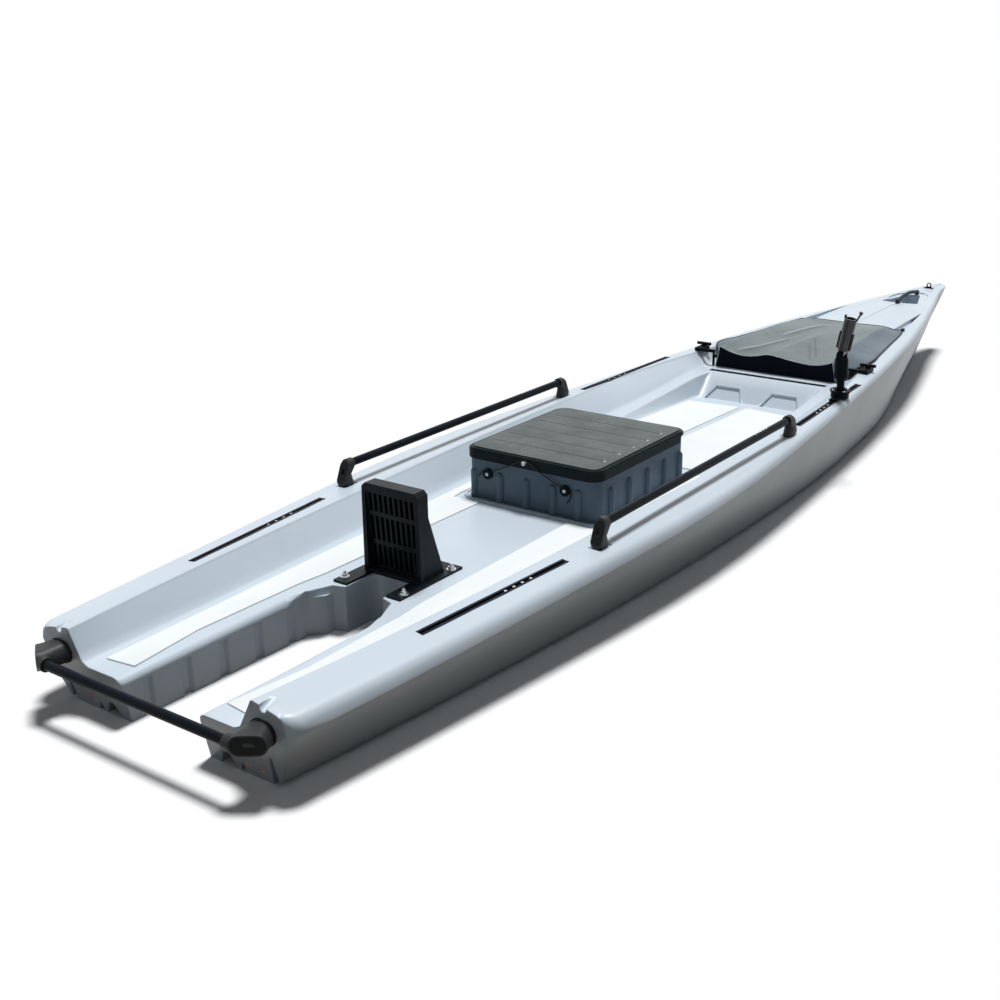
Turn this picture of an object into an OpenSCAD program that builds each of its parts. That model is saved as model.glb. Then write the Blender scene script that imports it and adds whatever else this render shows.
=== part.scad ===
// Motorised skiff kayak: a hollow moulded hull with a slot between two stern sponsons for a
// clamp-on motor, a storage console amidships, grab rails, gear tracks, a soft bow cover and
// a rod holder. Everything is drawn in the deck's own frame, bow along +Y, starboard along +X,
// and turned by the trim at the end so that the flat bottom lies on the ground.

/* [Hull] */
// Length of the hull from the slot corners to the stem head
hull_len = 4600; // [4400:20:4900]
// Greatest breadth over the gunwales
hull_beam = 970; // [940:5:1010]
// Wall of the moulded shell
wall = 5.5; // [4.5:0.5:7]
// Height of the cockpit floor above the aft end of the bottom
floor_z = 106; // [100:1:112]
// Rise of the flat bottom line per metre towards the stern
trim_rise = 18.5; // [16:0.5:20]

/* [Motor slot] */
// Width of the slot between the sponsons
slot_w = 238; // [230:1:244]
// Length of the wide part of the slot
slot_len = 560; // [545:5:570]
// Width of the narrow bay under the motor bracket
bay_w = 116; // [108:1:122]
// Forward end of the narrow bay
bay_end = 717; // [700:1:722]
// Depth of the upright channels in the slot's walls
channel_depth = 8; // [4:1:10]

/* [Motor bracket] */
// Half the width of the clamp plate
plate_half = 86; // [82:1:90]
// Height of the clamp plate above the floor
plate_h = 228; // [215:1:240]
// Thickness of the clamp plate
plate_t = 12; // [10:1:14]
// Diameter of the bracket's studs
stud_d = 8; // [6:0.5:10]

/* [Console] */
// Half the width of the console box
console_half = 214; // [208:1:217]
// Aft face of the console box
console_aft = 1288; // [1270:2:1300]
// Length of the console box
console_len = 476; // [462:1:480]
// Height of the console box above the floor
console_h = 132; // [120:1:145]
// Height of the lid above the top of the box
lid_rise = 12; // [11:1:20]
// Depth of the lid's skirt below the top of the box
skirt_h = 17; // [14:1:20]
// Wall of the console's mouldings
console_wall = 4; // [3:0.5:5]

/* [Rails and tracks] */
// Diameter of the rail tubes and of the stern bar
tube_d = 22; // [19:0.5:25]
// Height of the rail tubes above the gunwale
rail_rise = 50; // [45:1:60]
// Width of the gear tracks
track_w = 20.7; // [18:0.1:23]
// Depth of the gear tracks
track_h = 10; // [9:0.5:12]
// Mouth of the gear tracks' slot
track_mouth = 8; // [6:0.5:9]

/* [Bow] */
// Height of the cover's ridge above the shelf
cover_rise = 82; // [70:1:95]
// Thickness of the cover's cloth
cover_t = 3; // [2:0.5:4]
// Diameter of the rod tube's bore
rod_bore = 30; // [26:1:32]
// Length of the rod tube
rod_len = 70; // [60:1:90]

/* [Hidden] */

gap = 0.3;
fit = 0.05;
boss_d = tube_d + 8;
port = -1;
stbd = 1;
drawn_len = 4600;
drawn_beam = 970;
drawn_floor = 106;
slope = trim_rise / 1000;
lift = floor_z - drawn_floor;

// Tables run along the drawn hull: distance from the stern, then the value there
BEAM = [[0, 364], [8, 375], [26, 386], [600, 437], [1200, 480], [1500, 485], [1800, 472], [2300, 428], [2900, 363],
    [3500, 271], [4000, 161], [4400, 63], [4520, 42],
    [4580, 24], [4600, 8]];
BOTTOM = [[0, 325], [350, 359], [700, 384], [1100, 407], [1550, 415], [2000, 409], [2400, 388],
    [2750, 350], [3050, 311], [3300, 258], [3600, 180], [3900, 104], [4200, 26], [4300, 10], [4600, 6]];
SHEER = [[0, 181], [600, 182], [1200, 187], [1800, 190.5], [2300, 194], [2900, 202], [3500, 207],
    [3900, 209.5], [4200, 211], [4400, 210], [4600, 202]];
CAMBER = [[0, 12], [400, 9], [800, 4], [1200, 2], [4600, 1.5]];
EDGE_R = [[0, 32], [1200, 30], [2000, 22], [2600, 18], [3800, 18], [4600, 5]];
CREST = [[0, 268], [288, 295], [575, 317], [1150, 346], [1725, 364], [2100, 367], [2300, 368],
    [2600, 342], [2900, 294], [3200, 246], [3500, 190], [4000, 104], [4400, 34], [4600, 3.4]];
FOOT = [[0, 238], [400, 257], [800, 279], [1290, 300], [1765, 312], [2100, 308], [2300, 293],
    [2600, 288], [2862, 270], [3200, 222], [3450, 172], [3500, 164], [4000, 90], [4400, 28], [4600, 2.6]];
LEDGE_Z = [[0, 106], [1850, 106], [2100, 112], [2400, 131], [2600, 146], [2720, 156], [3400, 156],
    [3480, 200.8], [3540, 204.2], [3900, 206.5], [4200, 208], [4400, 207], [4600, 199]];
LEDGE_X = [[0, 180], [1800, 236], [2171, 239], [2441, 231], [2637, 225], [2800, 215], [3450, 140],
    [4000, 60], [4400, 18], [4600, 1.8]];
FLOOR = [[0, 106], [1790, 106], [2640, 84], [2720, 156], [3400, 156], [3480, 200.8], [3540, 205],
    [3900, 208], [4200, 210], [4400, 209], [4600, 200]];
STEM = [[4210, -77.9], [4260, -74], [4300, -56], [4340, -28], [4370, -4], [4420, 38], [4480, 72],
    [4540, 110], [4600, 160]];
STATIONS = [0, 8, 26, 100, 250, 450, 650, 850, 1050, 1250, 1450, 1650, 1790, 1950, 2100, 2300, 2500,
    2640, 2720, 2800, 2900, 3050, 3200, 3320, 3400, 3480, 3540, 3700, 3850, 4000, 4100, 4200,
    4260, 4300, 4340, 4370, 4420, 4480, 4520, 4560, 4585, 4600];

function span_of(t, y, i = 0) = (i >= len(t) - 2 || y < t[i + 1][0]) ? i : span_of(t, y, i + 1);
function slope_at(t, i) = let(a = max(i - 1, 0), b = min(i + 1, len(t) - 1))
    (t[b][1] - t[a][1]) / (t[b][0] - t[a][0]);
// A smooth curve through a table's points
function fair(t, y) = let(
    i = span_of(t, y), h = t[i + 1][0] - t[i][0], u = min(max((y - t[i][0]) / h, 0), 1),
    ma = slope_at(t, i) * h, mb = slope_at(t, i + 1) * h)
    t[i][1] * (2 * u * u * u - 3 * u * u + 1) + ma * (u * u * u - 2 * u * u + u)
    + t[i + 1][1] * (3 * u * u - 2 * u * u * u) + mb * (u * u * u - u * u);
// Straight lines through a table's points
function line(t, y) = let(i = span_of(t, y), u = (y - t[i][0]) / (t[i + 1][0] - t[i][0]))
    t[i][1] + (t[i + 1][1] - t[i][1]) * min(max(u, 0), 1);

// Stretches of the drawn hull onto the chosen length and beam
function drawn(y) = y * drawn_len / hull_len;
function along(y) = y * hull_len / drawn_len;
wide = hull_beam / drawn_beam;

// Heights and half-breadths at a place along the hull
function beam_at(y) = wide * fair(BEAM, drawn(y));
function edge_r(y) = min(fair(EDGE_R, drawn(y)), 0.45 * beam_at(y));
function top_at(y) = lift + fair(SHEER, drawn(y));
function edge_at(y) = top_at(y) - fair(CAMBER, drawn(y));
function fade(y) = max(0.04, min(1, beam_at(y) / 200));
function crest_at(y) = min(wide * fair(CREST, drawn(y)), beam_at(y) - edge_r(y) - 12 * fade(y));
function foot_at(y) = min(wide * fair(FOOT, drawn(y)), crest_at(y) - 9 * fade(y));
function ledge_in(y) = wide * line(LEDGE_X, drawn(y));
stem_y = STEM[0][0];
stem_z = STEM[0][1];
function bottom_at(y) = drawn(y) < stem_y ? -slope * y : line(STEM, drawn(y)) - stem_z - slope * along(stem_y);
function ledge_at(y) = lift + line(LEDGE_Z, drawn(y));
function deck_at(y) = lift + line(FLOOR, drawn(y));
// Height of the gunwale's top at a half-breadth and a place along the hull
function gunwale_at(x, y) = let(a = crest_at(y) + 8 * fade(y), b = beam_at(y) - edge_r(y))
    top_at(y) - (top_at(y) - edge_at(y)) * min(max((x - a) / (b - a), 0), 1);

// Half of the hull's section, from the keel line out, up, over the gunwale and in to the middle
function half(y) = let(
    w = beam_at(y), b = wide * fair(BOTTOM, drawn(y)), zp = top_at(y), zo = edge_at(y),
    zb = bottom_at(y), r = edge_r(y), rc = min(28, 0.4 * b), zs = zo - min(r + 2, 0.3 * (zo - zb)),
    s = fade(y), xi = crest_at(y), zl = ledge_at(y), zf = deck_at(y),
    xf = foot_at(y), xl = min(ledge_in(y), xf - 27 * s),
    drop = min(7, 0.3 * (zp - zl)), h = zp - drop - zl, hs = zs - 6 - zb - rc)
    [[0, zb], [b - rc, zb], [b - 0.3 * rc, zb + 0.3 * rc], [b, zb + rc],
     [b + (w - 4 - b) * 0.46, zb + rc + hs * 0.4], [b + (w - 4 - b) * 0.86, zb + rc + hs * 0.8],
     [w - 4 * s, zs - 6 * s], [w, zs],
     [w - r * (1 - cos(30)), zs + (zo - zs) * sin(30)], [w - r * (1 - cos(60)), zs + (zo - zs) * sin(60)],
     [w - r, zo], [xi + 8 * s, zp], [xi + 2 * s, zp - 0.3 * drop], [xi, zp - drop],
     [xf + 8 * s, zl + min(26, 0.45 * h)], [xf - 2 * s, zl + min(8, 0.14 * h)], [xf - 20 * s, zl],
     [xl + 6 * s, zl], [xl, zl - min(4, 0.2 * abs(zl - zf))],
     [xl - 12 * s, zf + min(8, 0.3 * abs(zl - zf))], [max(xl - 24 * s, xl * 0.3), zf], [0, zf]];

function unit(v) = v / max(norm(v), 0.000001);
function mirrored(h) = let(n = len(h)) concat(h, [for (i = [n - 2:-1:1]) [-h[i][0], h[i][1]]]);
// A closed section moved in by a wall
function inset(p, t) = let(n = len(p)) [for (i = [0:n - 1]) let(
    a = unit(p[i] - p[(i + n - 1) % n]), b = unit(p[(i + 1) % n] - p[i]),
    na = [-a[1], a[0]], nb = [-b[1], b[0]], m = unit(na + nb)) p[i] + m * t / max(m * na, 0.5)];
function skin(n, m) = concat(
    [[for (i = [n - 1:-1:0]) i]], [[for (i = [0:n - 1]) (m - 1) * n + i]],
    [for (j = [0:m - 2], i = [0:n - 1]) let(k = (i + 1) % n) [j * n + i, j * n + k, (j + 1) * n + i]],
    [for (j = [0:m - 2], i = [0:n - 1]) let(k = (i + 1) % n)
        [j * n + k, (j + 1) * n + k, (j + 1) * n + i]]);
// Closed sections [x, z] joined into a solid; each has its own place along the hull
module loft(sections, places) {
    polyhedron(points = [for (j = [0:len(places) - 1], p = sections[j]) [p[0], places[j], p[1]]],
        faces = skin(len(sections[0]), len(places)), convexity = 8);
}

// The flat bottom is turned level, and the origin lies under the middle of the whole
trim = atan(slope);
stern_bar_y = -62;
stern_bar_z = floor_z + 17;
aft_reach = stern_bar_y * cos(trim) - stern_bar_z * sin(trim) - boss_d / 2;
fore_reach = hull_len * cos(trim) - bottom_at(hull_len) * sin(trim);
module in_trim() {
    translate([0, -(aft_reach + fore_reach) / 2, 0]) rotate([trim, 0, 0]) children();
}

// Shared shapes
module both_sides() {
    children();
    mirror([1, 0, 0]) children();
}
module rounded_rect(w, l, r) {
    union() {
        square([w - 2 * r, l], center = true);
        square([w, l - 2 * r], center = true);
        for (x = [-1, 1], y = [-1, 1]) translate([x * (w / 2 - r), y * (l / 2 - r)]) circle(r = r, $fn = 48);
    }
}
module stadium(l, w) {
    square([l - w, w], center = true);
    for (s = [-1, 1]) translate([s * (l - w) / 2, 0]) circle(d = w, $fn = 48);
}
module pan_head(d, h) {
    cylinder(d = d, h = h * 0.5, $fn = 32);
    translate([0, 0, h * 0.5]) cylinder(d1 = d, d2 = d * 0.6, h = h * 0.5, $fn = 32);
}

// Gear tracks: ends on the gunwale as [x, y], and the places of the screws along them
aft_track = [[345, 400], [384, 884]];
fore_track = [[387, 2150], [364, 2690]];
aft_track_screws = [0.56, 0.62, 0.68, 0.74];
fore_track_screws = [0.30, 0.36, 0.42, 0.48];
track_proud = 0.8;
track_wall = 2.2;
cross_track_y = 2757;
cross_track_len = 446;
track_gap = 0.25;
function on_gunwale(p) = [wide * p[0], along(p[1]), gunwale_at(wide * p[0], along(p[1]))];
function track_length(t) = norm(on_gunwale(t[1]) - on_gunwale(t[0]));
// Local frame of a track: it runs along +Y, with the gunwale's top at z = 0
module at_track(t, side) {
    a = on_gunwale(t[0]);
    b = on_gunwale(t[1]);
    middle = (a + b) / 2;
    roll = atan((gunwale_at(middle[0] - 12, middle[1]) - gunwale_at(middle[0] + 12, middle[1])) / 24);
    mirror([side < 0 ? 1 : 0, 0, 0]) translate(a)
        rotate([0, 0, -atan2(b[0] - a[0], b[1] - a[1])])
        rotate([asin((b[2] - a[2]) / norm(b - a)), 0, 0])
        rotate([0, roll, 0]) children();
}
module track_body(l) {
    inside = track_w - 2 * track_wall;
    difference() {
        translate([-track_w / 2, 0, -track_h]) cube([track_w, l, track_h + track_proud]);
        translate([-track_mouth / 2, -1, -track_h + track_wall]) cube([track_mouth, l + 2, track_h + 5]);
        translate([-inside / 2, -1, -track_h + track_wall])
            cube([inside, l + 2, track_h + track_proud - 2 * track_wall]);
    }
}
track_screw_d = 4;
track_head_d = 7;
track_head_h = 2.4;
track_post_d = track_mouth - 0.8;
module track_screw() {
    translate([0, 0, -track_h + track_wall]) {
        pan_head(track_head_d, track_head_h);
        cylinder(d = track_post_d, h = track_h - track_wall - 0.6, $fn = 24);
        translate([0, 0, -14]) cylinder(d = track_screw_d, h = 14, $fn = 24);
    }
}
module track_bore(l) {
    translate([0, l, -track_h - 16]) cylinder(d = track_screw_d + 2 * fit, h = 22, $fn = 24);
}
module gear_track(t, side, screws) {
    color([0.07, 0.08, 0.1]) in_trim() at_track(t, side) difference() {
        track_body(track_length(t));
        for (u = screws) track_bore(u * track_length(t));
    }
}
module track_channel(t, side, g) {
    at_track(t, side) translate([-track_w / 2 - track_gap - g, -track_gap - g, -track_h - g])
        cube([track_w + 2 * track_gap + 2 * g, track_length(t) + 2 * track_gap + 2 * g, track_h + g + 30]);
}
shelf_z = lift + 156;
module at_cross_track() {
    translate([cross_track_len / 2, along(cross_track_y), shelf_z]) rotate([0, 0, 90]) children();
}
cross_screws = [0.15, 0.5, 0.85];
module track_cross() {
    color([0.07, 0.08, 0.1]) in_trim() at_cross_track() difference() {
        track_body(cross_track_len);
        for (u = cross_screws) track_bore(u * cross_track_len);
    }
}
module cross_channel(g) {
    at_cross_track() translate([-track_w / 2 - track_gap - g, -track_gap - g, -track_h - g])
        cube([track_w + 2 * track_gap + 2 * g, cross_track_len + 2 * track_gap + 2 * g, track_h + g + 30]);
}
module each_track_screw() {
    for (side = [port, stbd]) {
        at_track(aft_track, side) for (u = aft_track_screws)
            translate([0, u * track_length(aft_track), 0]) children();
        at_track(fore_track, side) for (u = fore_track_screws)
            translate([0, u * track_length(fore_track), 0]) children();
    }
    at_cross_track() for (u = cross_screws) translate([0, u * cross_track_len, 0]) children();
}
module track_screws() {
    color("silver") in_trim() {
        each_track_screw() track_screw();
        for (side = [port, stbd]) each_rail_stud(side) {
            cylinder(d = rail_stud_d, h = 3, $fn = 24);
            translate([0, 0, 2.6]) pan_head(rail_stud_d + 1.6, 1.4);
        }
    }
}

// Grab rails: each tube spans two cast feet that stand on flats cut into the gunwale
rail_x = 405;
rail_aft = 1000;
rail_studs = [for (i = [0:4]) 1822 + 17 * i];
rail_stud_d = 3.6;
rail_fore = 2052;
rail_socket = 26;
foot_w = 30;
foot_l = 46;
face_lean = 23;
function rail_foot_seat(y) = min(gunwale_at(wide * rail_x - foot_w / 2, along(y) - foot_l / 2),
    gunwale_at(wide * rail_x + foot_w / 2, along(y) - foot_l / 2),
    gunwale_at(wide * rail_x + foot_w / 2, along(y) + foot_l / 2)) - 1;
rail_z = max(rail_foot_seat(rail_aft), rail_foot_seat(rail_fore)) + rail_rise;
// A cast foot in its own frame: it stands on z = 0, and its tube leaves along +Y at the height h
module cast_foot(h) {
    difference() {
        union() {
            hull() {
                linear_extrude(4) stadium_foot();
                at_face(h) translate([0, -12, -11]) linear_extrude(11) rotate([0, 0, 90])
                    stadium(face_l - 16, face_w + 5);
                translate([0, 3, h * 0.45]) linear_extrude(2) stadium_leg();
            }
            hull() {
                at_face(h) translate([0, 0, -9]) linear_extrude(9) rotate([0, 0, 90]) stadium(face_l + 5, face_w + 5);
                translate([0, foot_l / 2 - rail_socket + 6, h]) rotate([-90, 0, 0])
                    cylinder(d = boss_d, h = rail_socket - 6, $fn = 32);
            }
        }
        face_cut(h);
        translate([-50, -60, -40]) cube([100, 120, 40]);
        translate([0, foot_l / 2 - rail_socket + 8, h]) rotate([-90, 0, 0])
            cylinder(d = tube_d + 2 * fit, h = rail_socket, $fn = 48);
        at_face(h) translate([0, 0, -face_pocket]) linear_extrude(20) rotate([0, 0, 90]) stadium(face_l, face_w);
        at_face(h) translate([0, face_hole_up, -7]) linear_extrude(20) rotate([0, 0, 90]) stadium(18, 10);
        translate([0, 0, -1]) cylinder(d = foot_bolt_d + 2 * fit, h = foot_bolt_in + 1, $fn = 32);
    }
}
foot_bolt_d = 8;
foot_bolt_in = 14;
foot_bolt_out = 16;
face_l = 62;
face_w = 27;
face_hole_up = 4;
face_pocket = 2.5;
module stadium_foot() {
    rotate([0, 0, 90]) stadium(foot_l, foot_w);
}
module stadium_leg() {
    rotate([0, 0, 90]) stadium(30, 24);
}
// The slanted oval face on the outside of the bend
module at_face(h) {
    translate([0, -11, h / 2 + 8]) rotate([90 - face_lean, 0, 0]) children();
}
module face_cut(h) {
    at_face(h) translate([-40, -60, 0]) cube([80, 120, 60]);
}
module face_insert(h) {
    at_face(h) translate([0, 0, -face_pocket]) difference() {
        linear_extrude(face_pocket - 0.4) rotate([0, 0, 90]) stadium(face_l - 2 * gap, face_w - 2 * gap);
        translate([0, face_hole_up, -1]) linear_extrude(10) rotate([0, 0, 90]) stadium(22, 13);
    }
}
module at_rail_foot(y, side, turn) {
    translate([side * wide * rail_x, along(y), rail_foot_seat(y)]) rotate([0, 0, turn]) children();
}
module rail_foot(y, side, turn) {
    color([0.3, 0.3, 0.31]) in_trim() at_rail_foot(y, side, turn) cast_foot(rail_z - rail_foot_seat(y));
}
module rail_foot_aft_port() { rail_foot(rail_aft, port, 0); }
module rail_foot_aft_stbd() { rail_foot(rail_aft, stbd, 0); }
module rail_foot_fore_port() { rail_foot(rail_fore, port, 180); }
module rail_foot_fore_stbd() { rail_foot(rail_fore, stbd, 180); }
module each_rail_foot() {
    for (side = [port, stbd]) {
        at_rail_foot(rail_aft, side, 0) children();
        at_rail_foot(rail_fore, side, 180) children();
    }
}
module rail_faces() {
    color([0.06, 0.06, 0.07]) in_trim() {
        for (side = [port, stbd]) {
            at_rail_foot(rail_aft, side, 0) face_insert(rail_z - rail_foot_seat(rail_aft));
            at_rail_foot(rail_fore, side, 180) face_insert(rail_z - rail_foot_seat(rail_fore));
        }
        for (side = [port, stbd]) at_stern_foot(side) stern_face_insert();
    }
}
module rail_bolts() {
    color("silver") in_trim() {
        each_rail_foot() translate([0, 0, -foot_bolt_out]) cylinder(d = foot_bolt_d, h = foot_bolt_out + foot_bolt_in, $fn = 32);
        for (side = [port, stbd]) at_stern_foot(side)
            translate([0, 0, -foot_bolt_out]) cylinder(d = foot_bolt_d, h = foot_bolt_out + foot_bolt_in, $fn = 32);
    }
}
module rail(side) {
    start = along(rail_aft) + foot_l / 2 - rail_socket + 8 + gap;
    end = along(rail_fore) - foot_l / 2 + rail_socket - 8 - gap;
    color([0.06, 0.07, 0.09]) in_trim() translate([side * wide * rail_x, start, rail_z])
        rotate([-90, 0, 0]) difference() {
            cylinder(d = tube_d, h = end - start, $fn = 48);
            translate([0, 0, -1]) cylinder(d = tube_d - 4, h = end - start + 2, $fn = 48);
            for (y = rail_studs) translate([0, -tube_d / 2 - 1, along(y) - start]) rotate([-90, 0, 0])
                cylinder(d = rail_stud_d + 2 * fit, h = 6, $fn = 24);
        }
}
module each_rail_stud(side) {
    for (y = rail_studs) translate([side * wide * rail_x, along(y), rail_z + tube_d / 2 - 2.6]) children();
}
module rail_port() { rail(port); }
module rail_stbd() { rail(stbd); }
module foot_seat(y, side, g) {
    at_rail_foot(y, side, 0) translate([0, 0, -g]) linear_extrude(40)
        square([foot_w + 6 + 2 * g, foot_l + 6 + 2 * g], center = true);
}

// Stern bar: a tube athwart the slot, on two cast feet that stand off the sponsons' ends
stern_foot_x = 300;
stern_foot_l = 64;
stern_foot_w = 48;
stern_collar = 33;
stern_face_l = 68;
stern_face_w = 36;
gasket_t = 4;
stern_stand = -stern_bar_y - gasket_t;
module at_stern_foot(side) {
    translate([side * stern_foot_x, -gasket_t, stern_bar_z]) mirror([side > 0 ? 0 : 1, 0, 0])
        rotate([90, 0, 0]) rotate([0, 0, 90]) children();
}
// The slanted oval face on the foot's outer corner
module at_stern_face() {
    translate([0, -14, stern_stand - 8.5]) rotate([36, 0, 0]) children();
}
module stern_casting() {
    difference() {
        union() {
            hull() {
                linear_extrude(4) rotate([0, 0, 90]) stadium(stern_foot_l, stern_foot_w);
                at_stern_face() translate([0, 0, -12]) linear_extrude(12) rotate([0, 0, 90])
                    stadium(stern_face_l + 7, stern_face_w + 7);
            }
            hull() {
                at_stern_face() translate([0, 6, -12]) linear_extrude(10) rotate([0, 0, 90])
                    stadium(stern_face_l - 14, stern_face_w);
                translate([0, stern_collar - 20, stern_stand]) rotate([-90, 0, 0])
                    cylinder(d = boss_d + 1, h = 20, $fn = 32);
            }
        }
        at_stern_face() translate([-40, -80, 0]) cube([80, 160, 60]);
        translate([0, stern_collar - rail_socket + 8, stern_stand]) rotate([-90, 0, 0])
            cylinder(d = tube_d + 2 * fit, h = rail_socket, $fn = 48);
        at_stern_face() translate([0, 0, -face_pocket]) linear_extrude(20) rotate([0, 0, 90])
            stadium(stern_face_l, stern_face_w);
        translate([0, 0, -1]) cylinder(d = foot_bolt_d + 2 * fit, h = foot_bolt_in + 1, $fn = 32);
    }
}
module stern_face_insert() {
    at_stern_face() translate([0, 0, -face_pocket]) difference() {
        linear_extrude(face_pocket - 0.4) rotate([0, 0, 90]) stadium(stern_face_l - 2 * gap, stern_face_w - 2 * gap);
        translate([0, 0, -1]) linear_extrude(10) rotate([0, 0, 90]) stadium(24, 12);
    }
}
module stern_foot(side) {
    color([0.3, 0.3, 0.31]) in_trim() at_stern_foot(side) stern_casting();
}
module stern_foot_port() { stern_foot(port); }
module stern_foot_stbd() { stern_foot(stbd); }
module stern_gaskets() {
    color([0.03, 0.03, 0.03]) in_trim() for (side = [port, stbd]) at_stern_foot(side)
        translate([0, 0, -gasket_t]) difference() {
            linear_extrude(gasket_t) rotate([0, 0, 90]) stadium(stern_foot_l + 4, stern_foot_w + 4);
            translate([0, 0, -1]) cylinder(d = foot_bolt_d + 2, h = gasket_t + 2, $fn = 32);
        }
}
module stern_bar() {
    reach = stern_foot_x - stern_collar + rail_socket - 8 - gap;
    color([0.06, 0.07, 0.09]) in_trim() translate([-reach, stern_bar_y, stern_bar_z]) rotate([0, 90, 0])
        difference() {
            cylinder(d = tube_d, h = 2 * reach, $fn = 48);
            translate([0, 0, -1]) cylinder(d = tube_d - 4, h = 2 * reach + 2, $fn = 48);
        }
}
// Threaded brass inserts in each sponson's end, for an accessory
insert_x = [232, 270];
insert_z = 25;
insert_d = 9;
insert_bore = 5;
insert_len = 14;
module each_insert() {
    for (s = [port, stbd], x = insert_x) translate([s * x, 0, insert_z]) rotate([-90, 0, 0]) children();
}
module stern_inserts() {
    color([0.75, 0.6, 0.3]) in_trim() each_insert() translate([0, 0, transom_at(insert_z)]) difference() {
        cylinder(d = insert_d, h = insert_len, $fn = 32);
        translate([0, 0, -1]) cylinder(d = insert_bore, h = insert_len + 2, $fn = 32);
    }
}
transom_rake = 20;
function transom_at(z) = transom_rake * min(1, max(0, (floor_z - z) / (floor_z - 4)));

// Motor slot
lip_drop = 18;
slot_half = slot_w / 2;
bay_half = bay_w / 2;
slot_neck = 90;
channel_w = 28;
channel_pitch = 105;
channel_first = 70;
function slot_outline(g) = [[slot_half + g, -60], [slot_half + g, slot_len - 20 + g / 2],
    [slot_neck + g, slot_len + 18 + g], [slot_neck + g, slot_len + 42 + g], [bay_half + g, slot_len + 52 + g],
    [bay_half + g, bay_end - 30 + g], [bay_half - 9 + g, bay_end - 9 + g], [bay_half - 30 + g, bay_end + g]];
module slot_prism(g) {
    h = slot_outline(g);
    translate([0, 0, -100]) linear_extrude(300)
        polygon(concat(h, [for (i = [len(h) - 1:-1:0]) [-h[i][0], h[i][1]]]));
}
module slot_channels(g) {
    for (s = [-1, 1], i = [0:4]) translate([s * (slot_half - 20), channel_first + i * channel_pitch, -100])
        linear_extrude(100 + floor_z - lip_drop - 6 + g)
        polygon([[0, -channel_w / 2 - g], [s * 20, -channel_w / 2 - g],
            [s * (20 + channel_depth + g), -channel_w / 2 + 5 - g],
            [s * (20 + channel_depth + g), channel_w / 2 - 5 + g], [s * 20, channel_w / 2 + g],
            [0, channel_w / 2 + g]]);
}
LIP = [[-20, 136], [14, 138], [253, 147], [480, 144], [555, 112], [625, 92]];
module slot_lip(g) {
    loft([for (p = LIP) let(a = max(p[1], slot_neck) + g, b = min(slot_half, p[1] - 2) + g * 0.6)
        concat([for (t = [90:-30:0]) [-a + (a - b) * cos(t), floor_z - lip_drop * (1 - sin(t)) - g]],
            [for (t = [0:30:90]) [a - (a - b) * cos(t), floor_z - lip_drop * (1 - sin(t)) - g]],
            [[a, floor_z + 30], [-a, floor_z + 30]])],
        [for (i = [0:len(LIP) - 1]) i == len(LIP) - 1 ? min(LIP[i][0], slot_len + 42) + g : LIP[i][0]]);
}
// Ribs under the sponsons: each groove between them fades out going forward
GROOVES = [[150, 196, 31, 900], [206, 222, 18, 900], [294, 312, 66, 700]];
module rib_grooves(g) {
    for (s = [-1, 1], q = GROOVES) {
        a = q[0] - g;
        b = q[1] + g;
        e = min(14, (b - a) / 3);
        loft([for (u = [-60, 0, 0.5, 1]) let(k = u < 0 ? 1 : 1 - u, y = u < 0 ? -40 : u * q[3],
            z = bottom_at(y), d = max(q[2] * k, 0.6) + g, m = (a + b) / 2,
            p = [[a, z - 30], [b, z - 30], [b, z - 0.01 - g], [b - e * k - 1, z + d], [a + e * k + 1, z + d],
                [a, z - 0.01 - g]]) s > 0 ? p : [for (i = [5:-1:0]) [-p[i][0], p[i][1]]]],
            [for (u = [-60, 0, 0.5, 1]) u < 0 ? -40 : u * q[3] + (u == 1 ? g : 0)]);
    }
}
// The sponsons' ends lean: their bottoms stop short of the deck edge
module transom_cut(g) {
    translate([-600, 0, 0]) rotate([90, 0, 90]) linear_extrude(1200)
        polygon([[-80, -100], [transom_rake + 1 + g, -100], [transom_rake + g, 4], [g, floor_z], [-80, floor_z]]);
}
notch_x = [[303, 10], [345, 9]];
module stern_notches(g) {
    both_sides() for (n = notch_x) translate([n[0], -10, top_at(0) - 10]) rotate([-71, 0, 0])
        cylinder(r = n[1] + g, h = 70 + g, $fn = 24);
}

// Bow: grooves in the foredeck and the hand hollow under the handle
groove_r = 4;
groove_aft = 3560;
groove_fore = 4020;
wedge = [[172, 3490], [216, 3490], [160, 3880]];
wedge_depth = 15;
hollow_y = 4155;
hollow_aft = [4054, 76];
hollow_fore = [4254, 24];
hollow_r = 12;
hollow_depth = 100;
dish_l = 292;
dish_w = 150;
dish_depth = 5;
hollow_z = top_at(along(hollow_y));
module foredeck_cuts(g) {
    both_sides() linear_extrude_down(top_at(along(3700)) + 20, top_at(along(3700)) - wedge_depth - g)
        offset_tri(g);
    translate([0, 0, hollow_z - hollow_depth - g]) linear_extrude(hollow_depth + 60) hollow_outline(g);
    translate([0, along(hollow_y), hollow_z - dish_depth - g])
        linear_extrude(60) scale([dish_w / dish_l, 1]) circle(d = dish_l + 2 * g, $fn = 48);
}
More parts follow.
